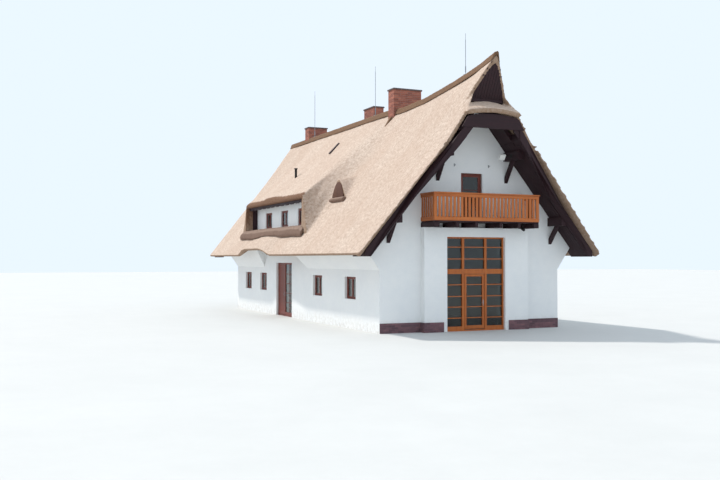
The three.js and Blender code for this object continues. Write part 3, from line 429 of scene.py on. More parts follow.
class Graph:
    """Adds nodes to one node tree and links them."""

    def __init__(self, tree: Tree) -> None:
        """Starts on a tree."""
        self.tree = tree

    def feed(self, socket: Socket, value: Source) -> None:
        """Links an output to an input, or sets the input's own value."""
        if isinstance(value, bpy.types.NodeSocket):
            self.tree.links.new(value, socket)
        else:
            socket.default_value = value

    def fill(self, node: Node, values: dict[str | int, Source]) -> Node:
        """Feeds several inputs of a node, by name or number."""
        for key, value in values.items():
            self.feed(node.inputs[key], value)
        return node

    def add(self, kind: str, values: dict[str | int, Source] | None = None,
            **settings: object) -> Node:
        """Adds a node, sets its own options and feeds its inputs."""
        node = self.tree.nodes.new(kind)
        for key, value in settings.items():
            setattr(node, key, value)
        return self.fill(node, values or {})

    def place(self) -> Socket:
        """The surface's place on the object."""
        return self.add("ShaderNodeTexCoord").outputs["Object"]

    def stretched(self, vector: Source, scale: Sequence[float],
                  turn: Sequence[float] = (0.0, 0.0, 0.0)) -> Socket:
        """Turns a place back by a rotation, then divides it by a scale."""
        values = {"Vector": vector, "Scale": tuple(scale), "Rotation": tuple(turn)}
        return self.add("ShaderNodeMapping", values, vector_type="TEXTURE").outputs["Vector"]

    def noise(self, vector: Source, scale: Source, detail: float = 4.0,
              roughness: float = 0.55) -> Socket:
        """A cloudy value from 0 to 1."""
        return self.add("ShaderNodeTexNoise", {"Vector": vector, "Scale": scale, "Detail": detail,
                                               "Roughness": roughness}).outputs[0]

    def mix(self, share: Source, first: Source, second: Source) -> Socket:
        """Mixes two colours by a share."""
        return self.add("ShaderNodeMix", {0: share, 6: first, 7: second}, data_type="RGBA",
                        blend_type="MIX", clamp_factor=True).outputs[2]

    def calc(self, operation: str, first: Source, second: Source, clamp: bool = False) -> Socket:
        """One sum on two values."""
        return self.add("ShaderNodeMath", {0: first, 1: second}, operation=operation,
                        use_clamp=clamp).outputs[0]

    def times(self, first: Source, second: Source) -> Socket:
        """The product of two values."""
        return self.calc("MULTIPLY", first, second)

    def blend(self, *parts: tuple[Source, float]) -> Socket:
        """Adds up values, each times its weight."""
        total = self.times(*parts[0])
        for part in parts[1:]:
            total = self.calc("ADD", total, self.times(*part))
        return total

    def contrast(self, value: Source, amount: Source) -> Socket:
        """Spreads a value about one half and stops it at 0 and 1."""
        centred = self.times(self.calc("SUBTRACT", value, 0.5), amount)
        return self.calc("ADD", centred, 0.5, clamp=True)

    def span(self, value: Source, start: float, end: float, low: float = 0.0,
             high: float = 1.0) -> Socket:
        """Carries a value from one range to another and stops at its ends."""
        values = {"Value": value, "From Min": start, "From Max": end, "To Min": low, "To Max": high}
        return self.add("ShaderNodeMapRange", values, clamp=True).outputs[0]

    def part(self, vector: Source, axis: int) -> Socket:
        """One axis of a vector."""
        return self.add("ShaderNodeSeparateXYZ", {"Vector": vector}).outputs[axis]

    def carried(self, name: str) -> Socket:
        """A value that the mesh carries."""
        return self.add("ShaderNodeAttribute", attribute_name=name).outputs["Fac"]

    def bump(self, height: Source, strength: float, distance: float,
             below: Source | None = None) -> Socket:
        """A normal bent by a height."""
        values = {"Height": height, "Strength": strength, "Distance": distance}
        if below is not None:
            values["Normal"] = below
        return self.add("ShaderNodeBump", values).outputs["Normal"]

    def effect(self, effect: "Effect", place: Source, *values: Source) -> dict[str, Socket]:
        """Places a shared effect and gives its outputs by name."""
        node = self.add("ShaderNodeGroup", None, node_tree=effect.tree())
        self.fill(node, dict(zip(effect.inputs, (place, *values))))
        return {title: node.outputs[title] for title in effect.outputs}


class Effect:
    """A shader group shared by several finishes, built when it is first asked for."""

    name = "effect"
    inputs: tuple[str, ...] = ()
    outputs: tuple[str, ...] = ()

    def tree(self) -> Tree:
        """The group's node tree, built once.

        Returns:
            The tree; its place is a vector, everything else is a value.
        """
        known = bpy.data.node_groups.get(self.name)
        if known:
            return known
        tree = bpy.data.node_groups.new(self.name, "ShaderNodeTree")
        for way, titles in (("INPUT", self.inputs), ("OUTPUT", self.outputs)):
            for title in titles:
                kind = "NodeSocketVector" if title == "Place" else "NodeSocketFloat"
                tree.interface.new_socket(title, in_out=way, socket_type=kind)
        given = tree.nodes.new("NodeGroupInput")
        result = tree.nodes.new("NodeGroupOutput")
        graph = Graph(tree)
        graph.fill(result, self.wire(graph, *(given.outputs[title] for title in self.inputs)))
        return tree

    def wire(self, graph: Graph, *given: Socket) -> dict[str, Socket]:
        """Adds the group's nodes and gives what each output gets."""
        raise NotImplementedError


class Mottle(Effect):
    """Cloudy variation at three sizes at once."""

    name = "mottle"
    inputs = ("Place", "Scale", "Contrast")
    outputs = ("Tone", "Height")

    def wire(self, graph: Graph, *given: Socket) -> dict[str, Socket]:
        """Adds three noises, each finer and weaker, and stretches the sum by the contrast."""
        place, scale, contrast = given
        large = graph.noise(place, scale, 2.0)
        middle = graph.noise(place, graph.times(scale, 4.7), 3.0)
        fine = graph.noise(place, graph.times(scale, 21.0), 4.0)
        total = graph.blend((large, 0.45), (middle, 0.33), (fine, 0.22))
        return {"Tone": graph.contrast(total, contrast),
                "Height": graph.blend((fine, 0.7), (middle, 0.3))}


class Grain(Effect):
    """Wood grain that runs along the third axis of the given place."""

    name = "grain"
    inputs = ("Place", "Scale")
    outputs = ("Tone", "Height")

    def wire(self, graph: Graph, *given: Socket) -> dict[str, Socket]:
        """Mixes broad streaks with fine fibres."""
        drawn_out, scale = graph.stretched(given[0], (1.0, 1.0, 18.0)), given[1]
        streaks = graph.noise(drawn_out, scale, 3.0)
        fibres = graph.noise(drawn_out, graph.times(scale, 7.0), 5.0, 0.7)
        return {"Tone": graph.contrast(graph.blend((streaks, 0.6), (fibres, 0.4)), 2.2),
                "Height": fibres}


class Reed(Effect):
    """Butt ends of reed: fine stipple, short streaks down the slope and broad weather marks."""

    name = "reed"
    inputs = ("Place", "Stipple")
    outputs = ("Tone", "Height", "Stain")

    def wire(self, graph: Graph, *given: Socket) -> dict[str, Socket]:
        """Builds the stipple from two noises and the stain from slow streaks."""
        place, size = given
        dots = graph.noise(place, size, 3.0, 0.75)
        tufts = graph.noise(place, graph.times(size, 0.36), 3.0, 0.65)
        streaks = graph.noise(graph.stretched(place, (5.0, 1.0, 5.0)), 1.7, 5.0, 0.62)
        broad = graph.noise(place, 0.55, 3.0)
        total = graph.blend((dots, 0.45), (tufts, 0.55))
        marks = graph.blend((streaks, 0.55), (broad, 0.45))
        return {"Tone": graph.contrast(total, 3.0), "Height": total,
                "Stain": graph.span(marks, 0.38, 0.66)}


# Finishes


@dataclass(frozen=True)
class Finish:
    """A material that is built once and shared."""

    name: str

    def make(self) -> bpy.types.Material:
        """The material.

        Returns:
            The material, built when it is first asked for.
        """
        known = bpy.data.materials.get(self.name)
        if known:
            return known
        material = bpy.data.materials.new(self.name)
        material.use_nodes = True
        tree = material.node_tree
        tree.nodes.clear()
        graph = Graph(tree)
        shader = graph.add("ShaderNodeBsdfPrincipled")
        graph.add("ShaderNodeOutputMaterial", {"Surface": shader.outputs["BSDF"]})
        graph.fill(shader, self.wire(graph))
        return material

    def wire(self, graph: Graph) -> dict[str, Source]:
        """Adds the nodes and gives what the shader's inputs get."""
        raise NotImplementedError


@dataclass(frozen=True)
class ReedFinish(Finish):
    """Weather-stained reed thatch; steep and downward faces are darker, partly for the colour of reed
    butt ends and partly as painted shade; the lip and cheeks of the wide dormer are a painted shade of
    brown.
    """

    light: Colour
    dark: Colour
    stain: Colour
    # colour of reed butt ends, which also stands for painted shade on steep and downward faces
    butt_end_and_shade: Colour
    # painted shade of the wide dormer's lip and cheeks
    brown: Colour
    stipple: float = 26.0
    relief: float = 0.03

    def wire(self, graph: Graph) -> dict[str, Source]:
        """Colours the reed effect by the way the surface faces."""
        reed = graph.effect(Reed(), graph.place(), self.stipple)
        body = graph.mix(reed["Tone"], self.dark, self.light)
        stained = graph.mix(graph.times(reed["Stain"], 0.55), body, self.stain)
        # Painted shade in part: faces that are steep or look down take the darker colour of reed butt
        # ends, which also stands for the shade that falls on them.
        upward = graph.part(graph.add("ShaderNodeNewGeometry").outputs["Normal"], 2)
        ends = graph.mix(reed["Tone"], self.butt_end_and_shade, graph.mix(0.3, self.butt_end_and_shade, self.light))
        stain_and_facing_shade = graph.mix(graph.span(upward, 0.46, 0.26, 0.0, 0.92), stained, ends)
        # Painted shade: the wide dormer's lip and cheeks, marked on the mesh, are darkened to brown
        # for the shade in its recess.
        deep = graph.mix(reed["Tone"], self.brown, self.butt_end_and_shade)
        return {"Base Color": graph.mix(graph.carried("sheltered"), stain_and_facing_shade, deep),
                "Roughness": 0.95, "Specular IOR Level": 0.2,
                "Normal": graph.bump(reed["Height"], 0.9, self.relief)}


class GrainAxis(Enum):
    """The way the grain runs."""

    ALONG_X = (0.0, math.pi / 2, 0.0)
    ALONG_Y = (math.pi / 2, 0.0, 0.0)
    UPRIGHT = (0.0, 0.0, 0.0)
    LEFT_SLOPE = (0.0, SLOPE_ANGLE, 0.0)
    RIGHT_SLOPE = (0.0, -SLOPE_ANGLE, 0.0)


@dataclass(frozen=True)
class TimberFinish(Finish):
    """Stained or oiled timber with grain, dust and a little wear."""

    light: Colour
    dark: Colour
    axis: GrainAxis = GrainAxis.UPRIGHT
    rough: Range = (0.45, 0.75)
    scale: float = 14.0

    def wire(self, graph: Graph) -> dict[str, Source]:
        """Colours the grain and lets clouds of dust darken it."""
        place = graph.place()
        turned = graph.stretched(place, (1.0, 1.0, 1.0), self.axis.value)
        grain = graph.effect(Grain(), turned, self.scale)
        mottle = graph.effect(Mottle(), place, 1.6, 2.4)
        wood = graph.mix(grain["Tone"], self.dark, self.light)
        return {"Base Color": graph.mix(graph.times(mottle["Tone"], 0.4), wood, self.dark),
                "Roughness": graph.span(grain["Tone"], 0.0, 1.0, *self.rough),
                "Specular IOR Level": 0.25, "Normal": graph.bump(grain["Height"], 0.35, 0.004)}


@dataclass(frozen=True)
class RenderFinish(Finish):
    """Fine white wall render with float marks, faint clouding and splashed dirt at its foot."""

    white: Colour
    shade: Colour
    dirt: Colour

    def wire(self, graph: Graph) -> dict[str, Source]:
        """Clouds the coat; the dirt fades out half a metre above the ground."""
        place = graph.place()
        clouds = graph.effect(Mottle(), place, 0.8, 2.0)
        sand = graph.noise(place, 220.0, 3.0, 0.7)
        floats = graph.noise(graph.stretched(place, (2.0, 2.0, 0.7)), 9.0, 3.0)
        coat = graph.mix(clouds["Tone"], self.shade, self.white)
        low = graph.span(graph.part(place, 2), 0.0, 0.55, 1.0, 0.0)
        splash = graph.times(low, graph.span(graph.noise(place, 6.0, 6.0, 0.7), 0.42, 0.75))
        return {"Base Color": graph.mix(graph.times(splash, 0.7), coat, self.dirt),
                "Roughness": graph.span(sand, 0.3, 0.7, 0.82, 0.95),
                "Normal": graph.bump(sand, 0.25, 0.002, graph.bump(floats, 0.15, 0.01))}


@dataclass(frozen=True)
class BrickFinish(Finish):
    """Fired brick; each brick takes its own tone from the shade value that it carries."""

    light: Colour
    dark: Colour
    burnt: Colour

    def wire(self, graph: Graph) -> dict[str, Source]:
        """Colours each brick by its own value, with burnt clouds over it."""
        mottle = graph.effect(Mottle(), graph.place(), 7.0, 2.6)
        body = graph.mix(graph.carried("shade"), self.dark, self.light)
        return {"Base Color": graph.mix(graph.times(mottle["Tone"], 0.55), body, self.burnt),
                "Roughness": graph.span(mottle["Tone"], 0.0, 1.0, 0.7, 0.92),
                "Normal": graph.bump(mottle["Height"], 0.5, 0.003)}


@dataclass(frozen=True)
class StoneFinish(Finish):
    """Mortar, screed or slab: a mottled mineral surface."""

    light: Colour
    dark: Colour
    scale: float = 5.0
    relief: float = 0.003

    def wire(self, graph: Graph) -> dict[str, Source]:
        """Takes everything from the mottle effect."""
        mottle = graph.effect(Mottle(), graph.place(), self.scale, 2.2)
        return {"Base Color": graph.mix(mottle["Tone"], self.dark, self.light),
                "Roughness": graph.span(mottle["Tone"], 0.0, 1.0, 0.7, 0.95),
                "Normal": graph.bump(mottle["Height"], 0.5, self.relief)}


@dataclass(frozen=True)
class MetalFinish(Finish):
    """Dull or painted metal with smudges and fine scratches."""

    light: Colour
    dark: Colour
    metallic: float = 1.0
    rough: Range = (0.3, 0.55)

    def wire(self, graph: Graph) -> dict[str, Source]:
        """Smudges the metal by the mottle effect and scratches it."""
        place = graph.place()
        mottle = graph.effect(Mottle(), place, 9.0, 2.4)
        scratches = graph.noise(graph.stretched(place, (1.0, 1.0, 12.0)), 120.0, 4.0)
        return {"Base Color": graph.mix(mottle["Tone"], self.dark, self.light),
                "Metallic": self.metallic,
                "Roughness": graph.span(mottle["Tone"], 0.0, 1.0, *self.rough),
                "Normal": graph.bump(scratches, 0.12, 0.001)}


@dataclass(frozen=True)
class GlassFinish(Finish):
    """Window glass, slightly tinted and uneven, with a veil of dust."""

    tint: Colour
    dust: Colour

    def wire(self, graph: Graph) -> dict[str, Source]:
        """Lets the dust only tint and roughen a little."""
        place = graph.place()
        veil = graph.effect(Mottle(), place, 3.0, 2.0)
        return {"Base Color": graph.mix(graph.times(veil["Tone"], 0.12), self.tint, self.dust),
                "Roughness": graph.span(veil["Tone"], 0.0, 1.0, 0.01, 0.08),
                "Transmission Weight": 1.0, "IOR": 1.5,
                "Normal": graph.bump(graph.noise(place, 2.2, 2.0), 0.08, 0.02)}


DARK = tone(62, 38, 42), tone(31, 17, 23)
LARCH = tone(204, 122, 64), tone(154, 80, 38)
OILED = (0.35, 0.55)

# In each reed finish the fourth colour is for reed butt ends and painted shade on steep and downward
# faces, the fifth is the painted shade of the wide dormer's lip and cheeks.
THATCH = ReedFinish("reed_thatch", tone(224, 206, 190), tone(160, 136, 120), tone(182, 156, 138),
                    tone(134, 104, 80), tone(96, 64, 52))
RIDGE_REED = ReedFinish("ridge_reed", tone(150, 118, 92), tone(96, 72, 56), tone(116, 90, 72),
                        tone(104, 78, 60), tone(84, 60, 48), stipple=32.0)
SILL_REED = ReedFinish("sill_reed", tone(164, 140, 124), tone(112, 90, 80), tone(134, 112, 100),
                       tone(110, 86, 74), tone(90, 66, 56), stipple=34.0)
RENDER = RenderFinish("wall_render", tone(240, 240, 238), tone(228, 230, 231), tone(168, 156, 140))
DARK_LEFT = TimberFinish("dark_timber_left", *DARK, GrainAxis.LEFT_SLOPE)
DARK_RIGHT = TimberFinish("dark_timber_right", *DARK, GrainAxis.RIGHT_SLOPE)
DARK_ACROSS = TimberFinish("dark_timber_across", *DARK, GrainAxis.ALONG_X)
DARK_LONG = TimberFinish("dark_timber_long", *DARK, GrainAxis.ALONG_Y)
DARK_UPRIGHT = TimberFinish("dark_timber_upright", *DARK)
LARCH_UPRIGHT = TimberFinish("larch_upright", *LARCH, GrainAxis.UPRIGHT, OILED)
LARCH_ACROSS = TimberFinish("larch_across", *LARCH, GrainAxis.ALONG_X, OILED)
LARCH_LONG = TimberFinish("larch_long", *LARCH, GrainAxis.ALONG_Y, OILED)
BROWN_BOARD = TimberFinish("brown_board", tone(108, 72, 56), tone(76, 50, 40))
REDWOOD = TimberFinish("redwood_stain", tone(140, 74, 60), tone(92, 44, 38), rough=(0.35, 0.6))
GLASS = GlassFinish("window_glass", tone(150, 162, 160), tone(196, 196, 190))
BRICK = BrickFinish("chimney_brick", tone(182, 110, 88), tone(136, 78, 64), tone(112, 68, 56))
PLINTH_BRICK = BrickFinish("plinth_clinker", tone(142, 100, 104), tone(96, 70, 76), tone(78, 60, 70))
MORTAR = StoneFinish("mortar", tone(176, 160, 150), tone(140, 124, 116), 9.0)
DARK_MORTAR = StoneFinish("plinth_mortar", tone(118, 102, 104), tone(92, 80, 84), 9.0)
CAP_STONE = StoneFinish("chimney_cap_slab", tone(112, 98, 94), tone(74, 62, 60), 6.0)
SCREED = StoneFinish("floor_screed", tone(168, 160, 150), tone(138, 130, 122), 1.5)
GROUND = StoneFinish("studio_ground", tone(206, 206, 204), tone(198, 198, 196), 0.3, 0.001)
ZINC = MetalFinish("zinc", tone(170, 172, 174), tone(120, 122, 126))
LAMP_WHITE = MetalFinish("lamp_white", tone(232, 232, 228), tone(206, 206, 202), metallic=0.0,
                         rough=(0.35, 0.5))
BLACK_IRON = MetalFinish("black_iron", tone(60, 58, 58), tone(36, 34, 34), metallic=0.8,
                         rough=(0.45, 0.65))


# Roof


@dataclass
class ThatchCoat:
    """The reed of both slopes and the half-hip as one soft, uneven coat."""

    nodes: tuple[str, ...] = ("thatch_left", "thatch_right", "front_hip")
    hood: str = "small_dormer"
    hood_front: float = 0.64
    hood_x: Range = (0.69, 2.2)
    hood_y: Range = (4.3, 7.1)
    hood_sunk: float = 0.25
    voxel: float = 0.055
    swell: Range = (1.5, 0.045)
    tuft: Range = (0.16, 0.012)
    still: Range = (-1.0, 20.2)
    still_fade: float = 0.6
    upper_side: float = 0.3
    lip_edge: float = -0.37
    lip_foot: float = 5.46
    cheek_x: Range = (-0.7, 0.2)
    cheek_y: Range = (6.93, 15.57)
    cheek_rise: float = 0.35
    faces: int = 190000

    def build(self) -> None:
        """Melts the shells and the hood together, ruffles them and thins out the flat parts."""
        coat = joined("thatch_coat", [copy_of_nodes("thatch_coat", *self.nodes), self.small_hood()])
        trimmed = copy_of_nodes("trimmed", *self.nodes)
        remesh(coat, self.voxel * (1.0))
        relax(coat, 1)
        relax(coat, 40, mark(coat, "blend", self.beside_hood))
        verge = mark(coat, "verge", lambda vertex: 1.0 - self.off_verge(vertex))
        relax(coat, 16, verge)
        apply_modifier(coat, "SHRINKWRAP", target=trimmed, wrap_method="NEAREST_SURFACEPOINT",
                       vertex_group=verge)
        relax(coat, 3, verge)
        drop(trimmed)
        outer = mark(coat, "outer", self.ruffled)
        ruffle(coat, *self.swell, group=outer)
        ruffle(coat, *self.tuft, group=outer)
        apply_modifier(coat, "DECIMATE", ratio=min(1.0, self.faces / (2 * len(coat.data.polygons))))
        smooth(coat)
        # Painted shade of the wide dormer's recess, written as a value on each vertex.
        layer = coat.data.attributes.new("sheltered", "FLOAT", "POINT")
        layer.data.foreach_set("value", [self.sheltered(vertex) for vertex in coat.data.vertices])
        hand_over(coat, THATCH, nodes=self.nodes + (self.hood,))

    def small_hood(self) -> Piece:
        """The small dormer's hood without the roll in front of it."""
        hood = copy_of_nodes("hood", self.hood)
        edit_all(hood, lambda: bpy.ops.mesh.bisect(
            plane_co=at(self.hood_front, 0.0, 0.0), plane_no=(1.0, 0.0, 0.0), use_fill=True,
            clear_inner=True))
        return hood

    def beside_hood(self, vertex: Vertex) -> float:
        """1 where the hood flows into the slope, 0 elsewhere."""
        place = vertex.co - CORNER
        return float(within(place.x, self.hood_x) and within(place.y, self.hood_y)
                     and place.z > roof_z(place.x) - self.hood_sunk)

    def off_verge(self, vertex: Vertex) -> float:
        """0 along both trimmed verges, rising to 1 on the open slope."""
        y = vertex.co.y - CORNER.y
        return clamped(min(y - self.still[0], self.still[1] - y) / self.still_fade)

    def ruffled(self, vertex: Vertex) -> float:
        """How far the upper side of the coat takes the ruffles."""
        return self.off_verge(vertex) if vertex.normal.z > self.upper_side else 0.0

    def sheltered(self, vertex: Vertex) -> float:
        """Painted shade mask: 1 on the lip and the cheeks of the wide dormer, where its recess lies in
        shade, 0 elsewhere.
        """
        place = vertex.co - CORNER
        inside = (within(place.x, self.cheek_x) and within(place.y, self.cheek_y)
                  and place.z > roof_z(place.x) + self.cheek_rise)
        return float(inside and (place.x < self.lip_edge or place.z < self.lip_foot))


@dataclass
class ReedRoll:
    """A dense roll of darker reed: a ridge, or the sill of a dormer."""

    name: str
    nodes: tuple[str, ...]
    finish: ReedFinish
    voxel: float = 0.03
    depth: float = 0.02

    def build(self) -> None:
        """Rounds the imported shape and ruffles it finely."""
        roll = copy_of_nodes(self.name, *self.nodes)
        remesh(roll, self.voxel * (1.0))
        relax(roll, 3)
        ruffle(roll, 0.5, self.depth, 0.6)
        ruffle(roll, 0.09, self.depth / 4, 0.6)
        smooth(roll)
        hand_over(roll, self.finish, nodes=self.nodes)


@dataclass
class SmallDormer:
    """What fills the mouth of the little dormer: a tongue-shaped board and a rolled sill."""

    x: float = 0.62
    y: float = 5.58
    foot: float = 5.34
    mouth_half: float = 0.66
    mouth_height: float = 0.74
    fullness: float = 0.8
    draw_in: float = 0.3
    lean: float = 0.12
    board_out: float = 0.01
    roll_x: float = 0.56
    roll_y: float = 5.42
    roll_z: float = 5.31
    roll_radius: float = 0.115
    roll_length: float = 1.56

    def build(self) -> None:
        """Builds the mouth board and the sill roll."""
        self.mouth()
        self.roll()

    def mouth(self) -> None:
        """One upright board, rounded at the top and drawn in towards it."""
        clear_selection()
        bpy.ops.mesh.primitive_cylinder_add(vertices=56, radius=1.0, depth=0.04,
                                            rotation=(0.0, math.pi / 2, 0.0))
        board = settle(named(bpy.context.object, "small_dormer_board"))
        edit_all(board, lambda: bpy.ops.mesh.bisect(
            plane_co=(0.0, 0.0, 0.0), plane_no=(0.0, 0.0, 1.0), use_fill=True, clear_inner=True))
        for vertex in board.data.vertices:
            height = vertex.co.z
            flank = math.copysign(abs(vertex.co.y) ** self.fullness, vertex.co.y)
            drawn = self.mouth_half * (1 - self.draw_in * height)
            vertex.co.y = flank * drawn - self.lean * height
            vertex.co.z = height * self.mouth_height
        board.data.transform(Matrix.Translation(at(self.x + self.board_out, self.y, self.foot)))
        rounded(board, 0.008)
        smooth(board, 40)
        hand_over(board, BROWN_BOARD)

    def roll(self) -> None:
        """The sill roll, with rounded and ruffled ends."""
        half = Vector((0.0, self.roll_length / 2, 0.0))
        middle = at(self.roll_x, self.roll_y, self.roll_z)
        roll = round_bar("small_dormer_sill", middle - half, middle + half, self.roll_radius, 20)
        rounded(roll, 0.05, 3)
        remesh(roll, 0.03)
        ruffle(roll, 0.3, 0.03, 0.6)
        ruffle(roll, 0.06, 0.012, 0.6)
        smooth(roll)
        hand_over(roll, SILL_REED)


@dataclass
class Chimney:
    """A stack of bonded bricks over a mortar core, with a slab on top."""

    node: str
    x: Range
    y: Range
    foot: float
    top: float
    seed: int
    brick: float = 0.25
    course: float = 0.083
    joint: float = 0.01
    depth: float = 0.1
    recess: float = 0.007
    cap: float = 0.07
    overhang: float = 0.04
    flue_rim: float = 0.2
    flue_depth: float = 0.06
    core_foot: float = 4.2003

    def build(self) -> None:
        """Builds core, bricks and slab."""
        hand_over(self.solid("core", -self.recess, (self.core_foot, self.top - self.cap), 0.0),
                  MORTAR, nodes=(self.node,))
        hand_over(joined(f"{self.node}_bricks", self.bricks()), BRICK)
        slab = self.solid("slab", self.overhang, (self.top - self.cap, self.top), 0.01)
        sink(slab, Vector((0.0, 0.0, 1.0)), self.flue_rim, self.flue_depth)
        hand_over(slab, CAP_STONE)

    def solid(self, part: str, over: float, z: Range, edge: float) -> Piece:
        """A block that stands out from the stack's faces, or behind them if negative."""
        return block(f"{self.node}_{part}", at(self.x[0] - over, self.y[0] - over, z[0]),
                     at(self.x[1] + over, self.y[1] + over, z[1]), edge)

    def bricks(self) -> list[Piece]:
        """All bricks from the roof to the slab.

        Returns:
            The bricks, each its own object.
        """
        chance = random.Random(self.seed)
        master = block("brick", (0, 0, 0), (1, 1, 1))
        laid = []
        courses = int((self.top - self.cap - self.foot) / self.course)
        start = self.top - self.cap - courses * self.course
        height = self.course - self.joint
        for row in range(courses):
            low = start + row * self.course + self.joint
            for along_x in (True, False):
                run, side = (self.x, self.y) if along_x else (self.y, self.x)
                inset = 0.0 if (row % 2 == 0) == along_x else self.depth + self.joint
                first, last = run[0] + inset, run[1] - inset
                count = max(1, round((last - first) / self.brick))
                length = (last - first + self.joint) / count - self.joint
                for k in range(count):
                    u = first + k * (length + self.joint)
                    for near in (side[0], side[1] - self.depth):
                        corner = (u, near, low) if along_x else (near, u, low)
                        size = (length, self.depth) if along_x else (self.depth, length)
                        laid.append(lay(master, corner, (*size, height), chance))
        drop(master)
        return laid


class RoofFittings:
    """Lightning rods, vent pipe, vent flap and the fillet beside the main chimney."""

    def build(self) -> None:
        """Builds all fittings."""
        for node in ("rod_front", "rod_middle", "rod_back"):
            self.rod(node)
        self.pipe()
        self.flap()
        self.fillet()

    def rod(self, node: str) -> None:
        """A rod with a foot plate, a clamp and a drawn point."""
        low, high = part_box(node)
        x, y = (low.x + high.x) / 2, (low.y + high.y) / 2
        foot, point = low.z + 0.06, high.z - 0.25
        parts = uprights((low, high), 12, (low.z, point, 0.012), (point, high.z, 0.007),
                         (foot + 0.10, foot + 0.34, 0.022))
        parts.append(bar("plate", (x - 0.06, x + 0.06), (y - 0.09, y + 0.09),
                         (foot, foot + 0.025), 0.006))
        hand_over(joined(f"{node}_steel", parts), ZINC, nodes=(node,))

    def pipe(self) -> None:
        """The vent pipe with its collar and rain hood."""
        low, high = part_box("vent_pipe")
        pipe = joined("vent_pipe_sheet", uprights(
            (low, high), 28, (low.z, high.z - 0.03, 0.06), (high.z - 0.05, high.z, 0.088),
            (high.z - 0.17, high.z - 0.14, 0.066)))
        rounded(pipe, 0.004)
        smooth(pipe, 40)
        hand_over(pipe, BLACK_IRON, nodes=("vent_pipe",))

    def flap(self) -> None:
        """A long narrow vent on the slope above the dormer, flatter towards its foot."""
        foot, top = at(2.25, 10.55, 6.05 + 0.833 * 2.25), at(2.95, 10.95, 6.05 + 0.833 * 2.95)
        flap = tapered("vent_flap", (foot, top), 0.05, (-0.05, 0.05), 0.012,
                       lambda place: (place.x, place.y, place.z * 0.35))
        flap.data.transform(Matrix.Translation((-0.02, 0.0, 0.03)))
        hand_over(flap, DARK_UPRIGHT)

    def fillet(self) -> None:
        """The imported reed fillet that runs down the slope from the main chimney's corner."""
        lower, upper = at(3.14, 6.54, roof_z(3.14) + 0.03), at(3.76, 6.56, roof_z(3.76) + 0.03)
        fillet = tapered("chimney_fillet", (lower, upper), 0.09, (-0.08, 0.14), 0.01,
                         lambda place: (place.x * 0.4, place.y, min(place.z, 0.02)))
        remesh(fillet, 0.015)
        ruffle(fillet, 0.08, 0.012, 0.7)
        smooth(fillet)
        hand_over(fillet, RIDGE_REED)


# Timber under the eaves


@dataclass
class VergeTimber:
    """Barge boards, soffit boards, collar board and the closed owl hole."""

    board: float = 0.15
    gap: float = 0.008
    thickness: float = 0.022
    wall_gap: float = 0.012
    front: float = -1.45
    run: Range = (-0.86, 2.72)
    hip_from: float = -0.8
    hip_top: float = 2.62
    rake_from: float = -0.9
    rake_start: float = -0.927
    bend: float = 1.0
    rake: float = 0.3466
    owl_board: float = 0.12
    owl_foot: Range = (-0.906, 8.5)
    owl_lean: float = math.radians(25.4)
    owl_each_side: int = 6
    owl_top: float = 10.2
    owl_eave: Range = (0.97, 8.44)
    owl_rise: float = 2.0

    def build(self) -> None:
        """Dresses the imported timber, boards the soffits and closes the owl hole."""
        dress(DARK_LEFT, "verge_front_left")
        dress(DARK_RIGHT, "verge_front_right")
        dress(DARK_ACROSS, "collar_board")
        dress(DARK_UPRIGHT, "verge_back", "owl_hole_panel")
        for side, finish in (("left", DARK_LEFT), ("right", DARK_RIGHT)):
            boards = self.boards(side == "right")
            hand_over(joined(f"soffit_boards_{side}", boards), finish)
        self.owl_boards()

    def boards(self, mirrored: bool) -> list[Piece]:
        """Boards up one front soffit; the outer ones start where the verge's rake lets them.

        Args:
            mirrored: the right side instead of the left.

        Returns:
            The boards.
        """
        laid = []
        y = -self.wall_gap
        while y - self.board > self.front:
            lower, upper = self.run
            if y - self.board < self.rake_from:
                lower = max(lower, self.bend + (self.rake_start - (y - self.board)) / self.rake)
            if y < self.hip_from:
                upper = self.hip_top
            laid.append(self.slanted((lower, upper), (y - self.board, y - self.gap), mirrored))
            y -= self.board
        return laid

    def slanted(self, x: Range, y: Range, mirrored: bool) -> Piece:
        """One board against the soffit between two house x places."""
        length = (x[1] - x[0]) * math.hypot(1.0, SOFFIT_PITCH)
        plank = bar("plank", (0.0, length), (y[0] + CORNER.y, y[1] + CORNER.y),
                    (-self.thickness, 0.0), FINE_EDGE)
        turn = Matrix.Rotation(-math.atan(SOFFIT_PITCH), 4, "Y")
        place = Matrix.Translation((x[0] + CORNER.x, 0.0, soffit_z(x[0])))
        if mirrored:
            place = Matrix.Diagonal((-1.0, 1.0, 1.0, 1.0)) @ place
        plank.data.transform(place @ turn)
        if mirrored:
            edit_all(plank, lambda: bpy.ops.mesh.normals_make_consistent(inside=False))
        return plank

    def owl_boards(self) -> None:
        """Boards that lean forward with the verge and close the owl hole, over a sill board; dark and
        leant forward, they also cover the verge's inner face and stand in part for the deep shade
        inside the hole.
        """
        y, z = self.owl_foot
        parts = [block("sill", at(3.3, -1.08, 8.70), at(4.7, -0.99, 8.81), 0.008)]
        turn = Matrix.Rotation(self.owl_lean, 4, "X")
        half = self.owl_board / 2 - self.gap / 2
        for k in range(-self.owl_each_side, self.owl_each_side + 1):
            x = MIDDLE_X + k * self.owl_board
            out, low = self.owl_eave
            head = min(self.owl_top, low + self.owl_rise * (out - abs(x - MIDDLE_X)))
            length = (head - z) / math.cos(self.owl_lean)
            plank = bar("board", (-half, half), (-0.012, 0.012), (0.0, length), FINE_EDGE)
            plank.data.transform(Matrix.Translation(at(x, y, z)) @ turn)
            parts.append(plank)
        hand_over(joined("owl_hole_boards", parts), DARK_UPRIGHT)


# Windows and doors


class Facing(Enum):
    """The side a piece looks out from, as its turn about the upright axis."""

    FRONT = 0.0
    LEFT = -math.pi / 2
    BACK = math.pi
    RIGHT = math.pi / 2


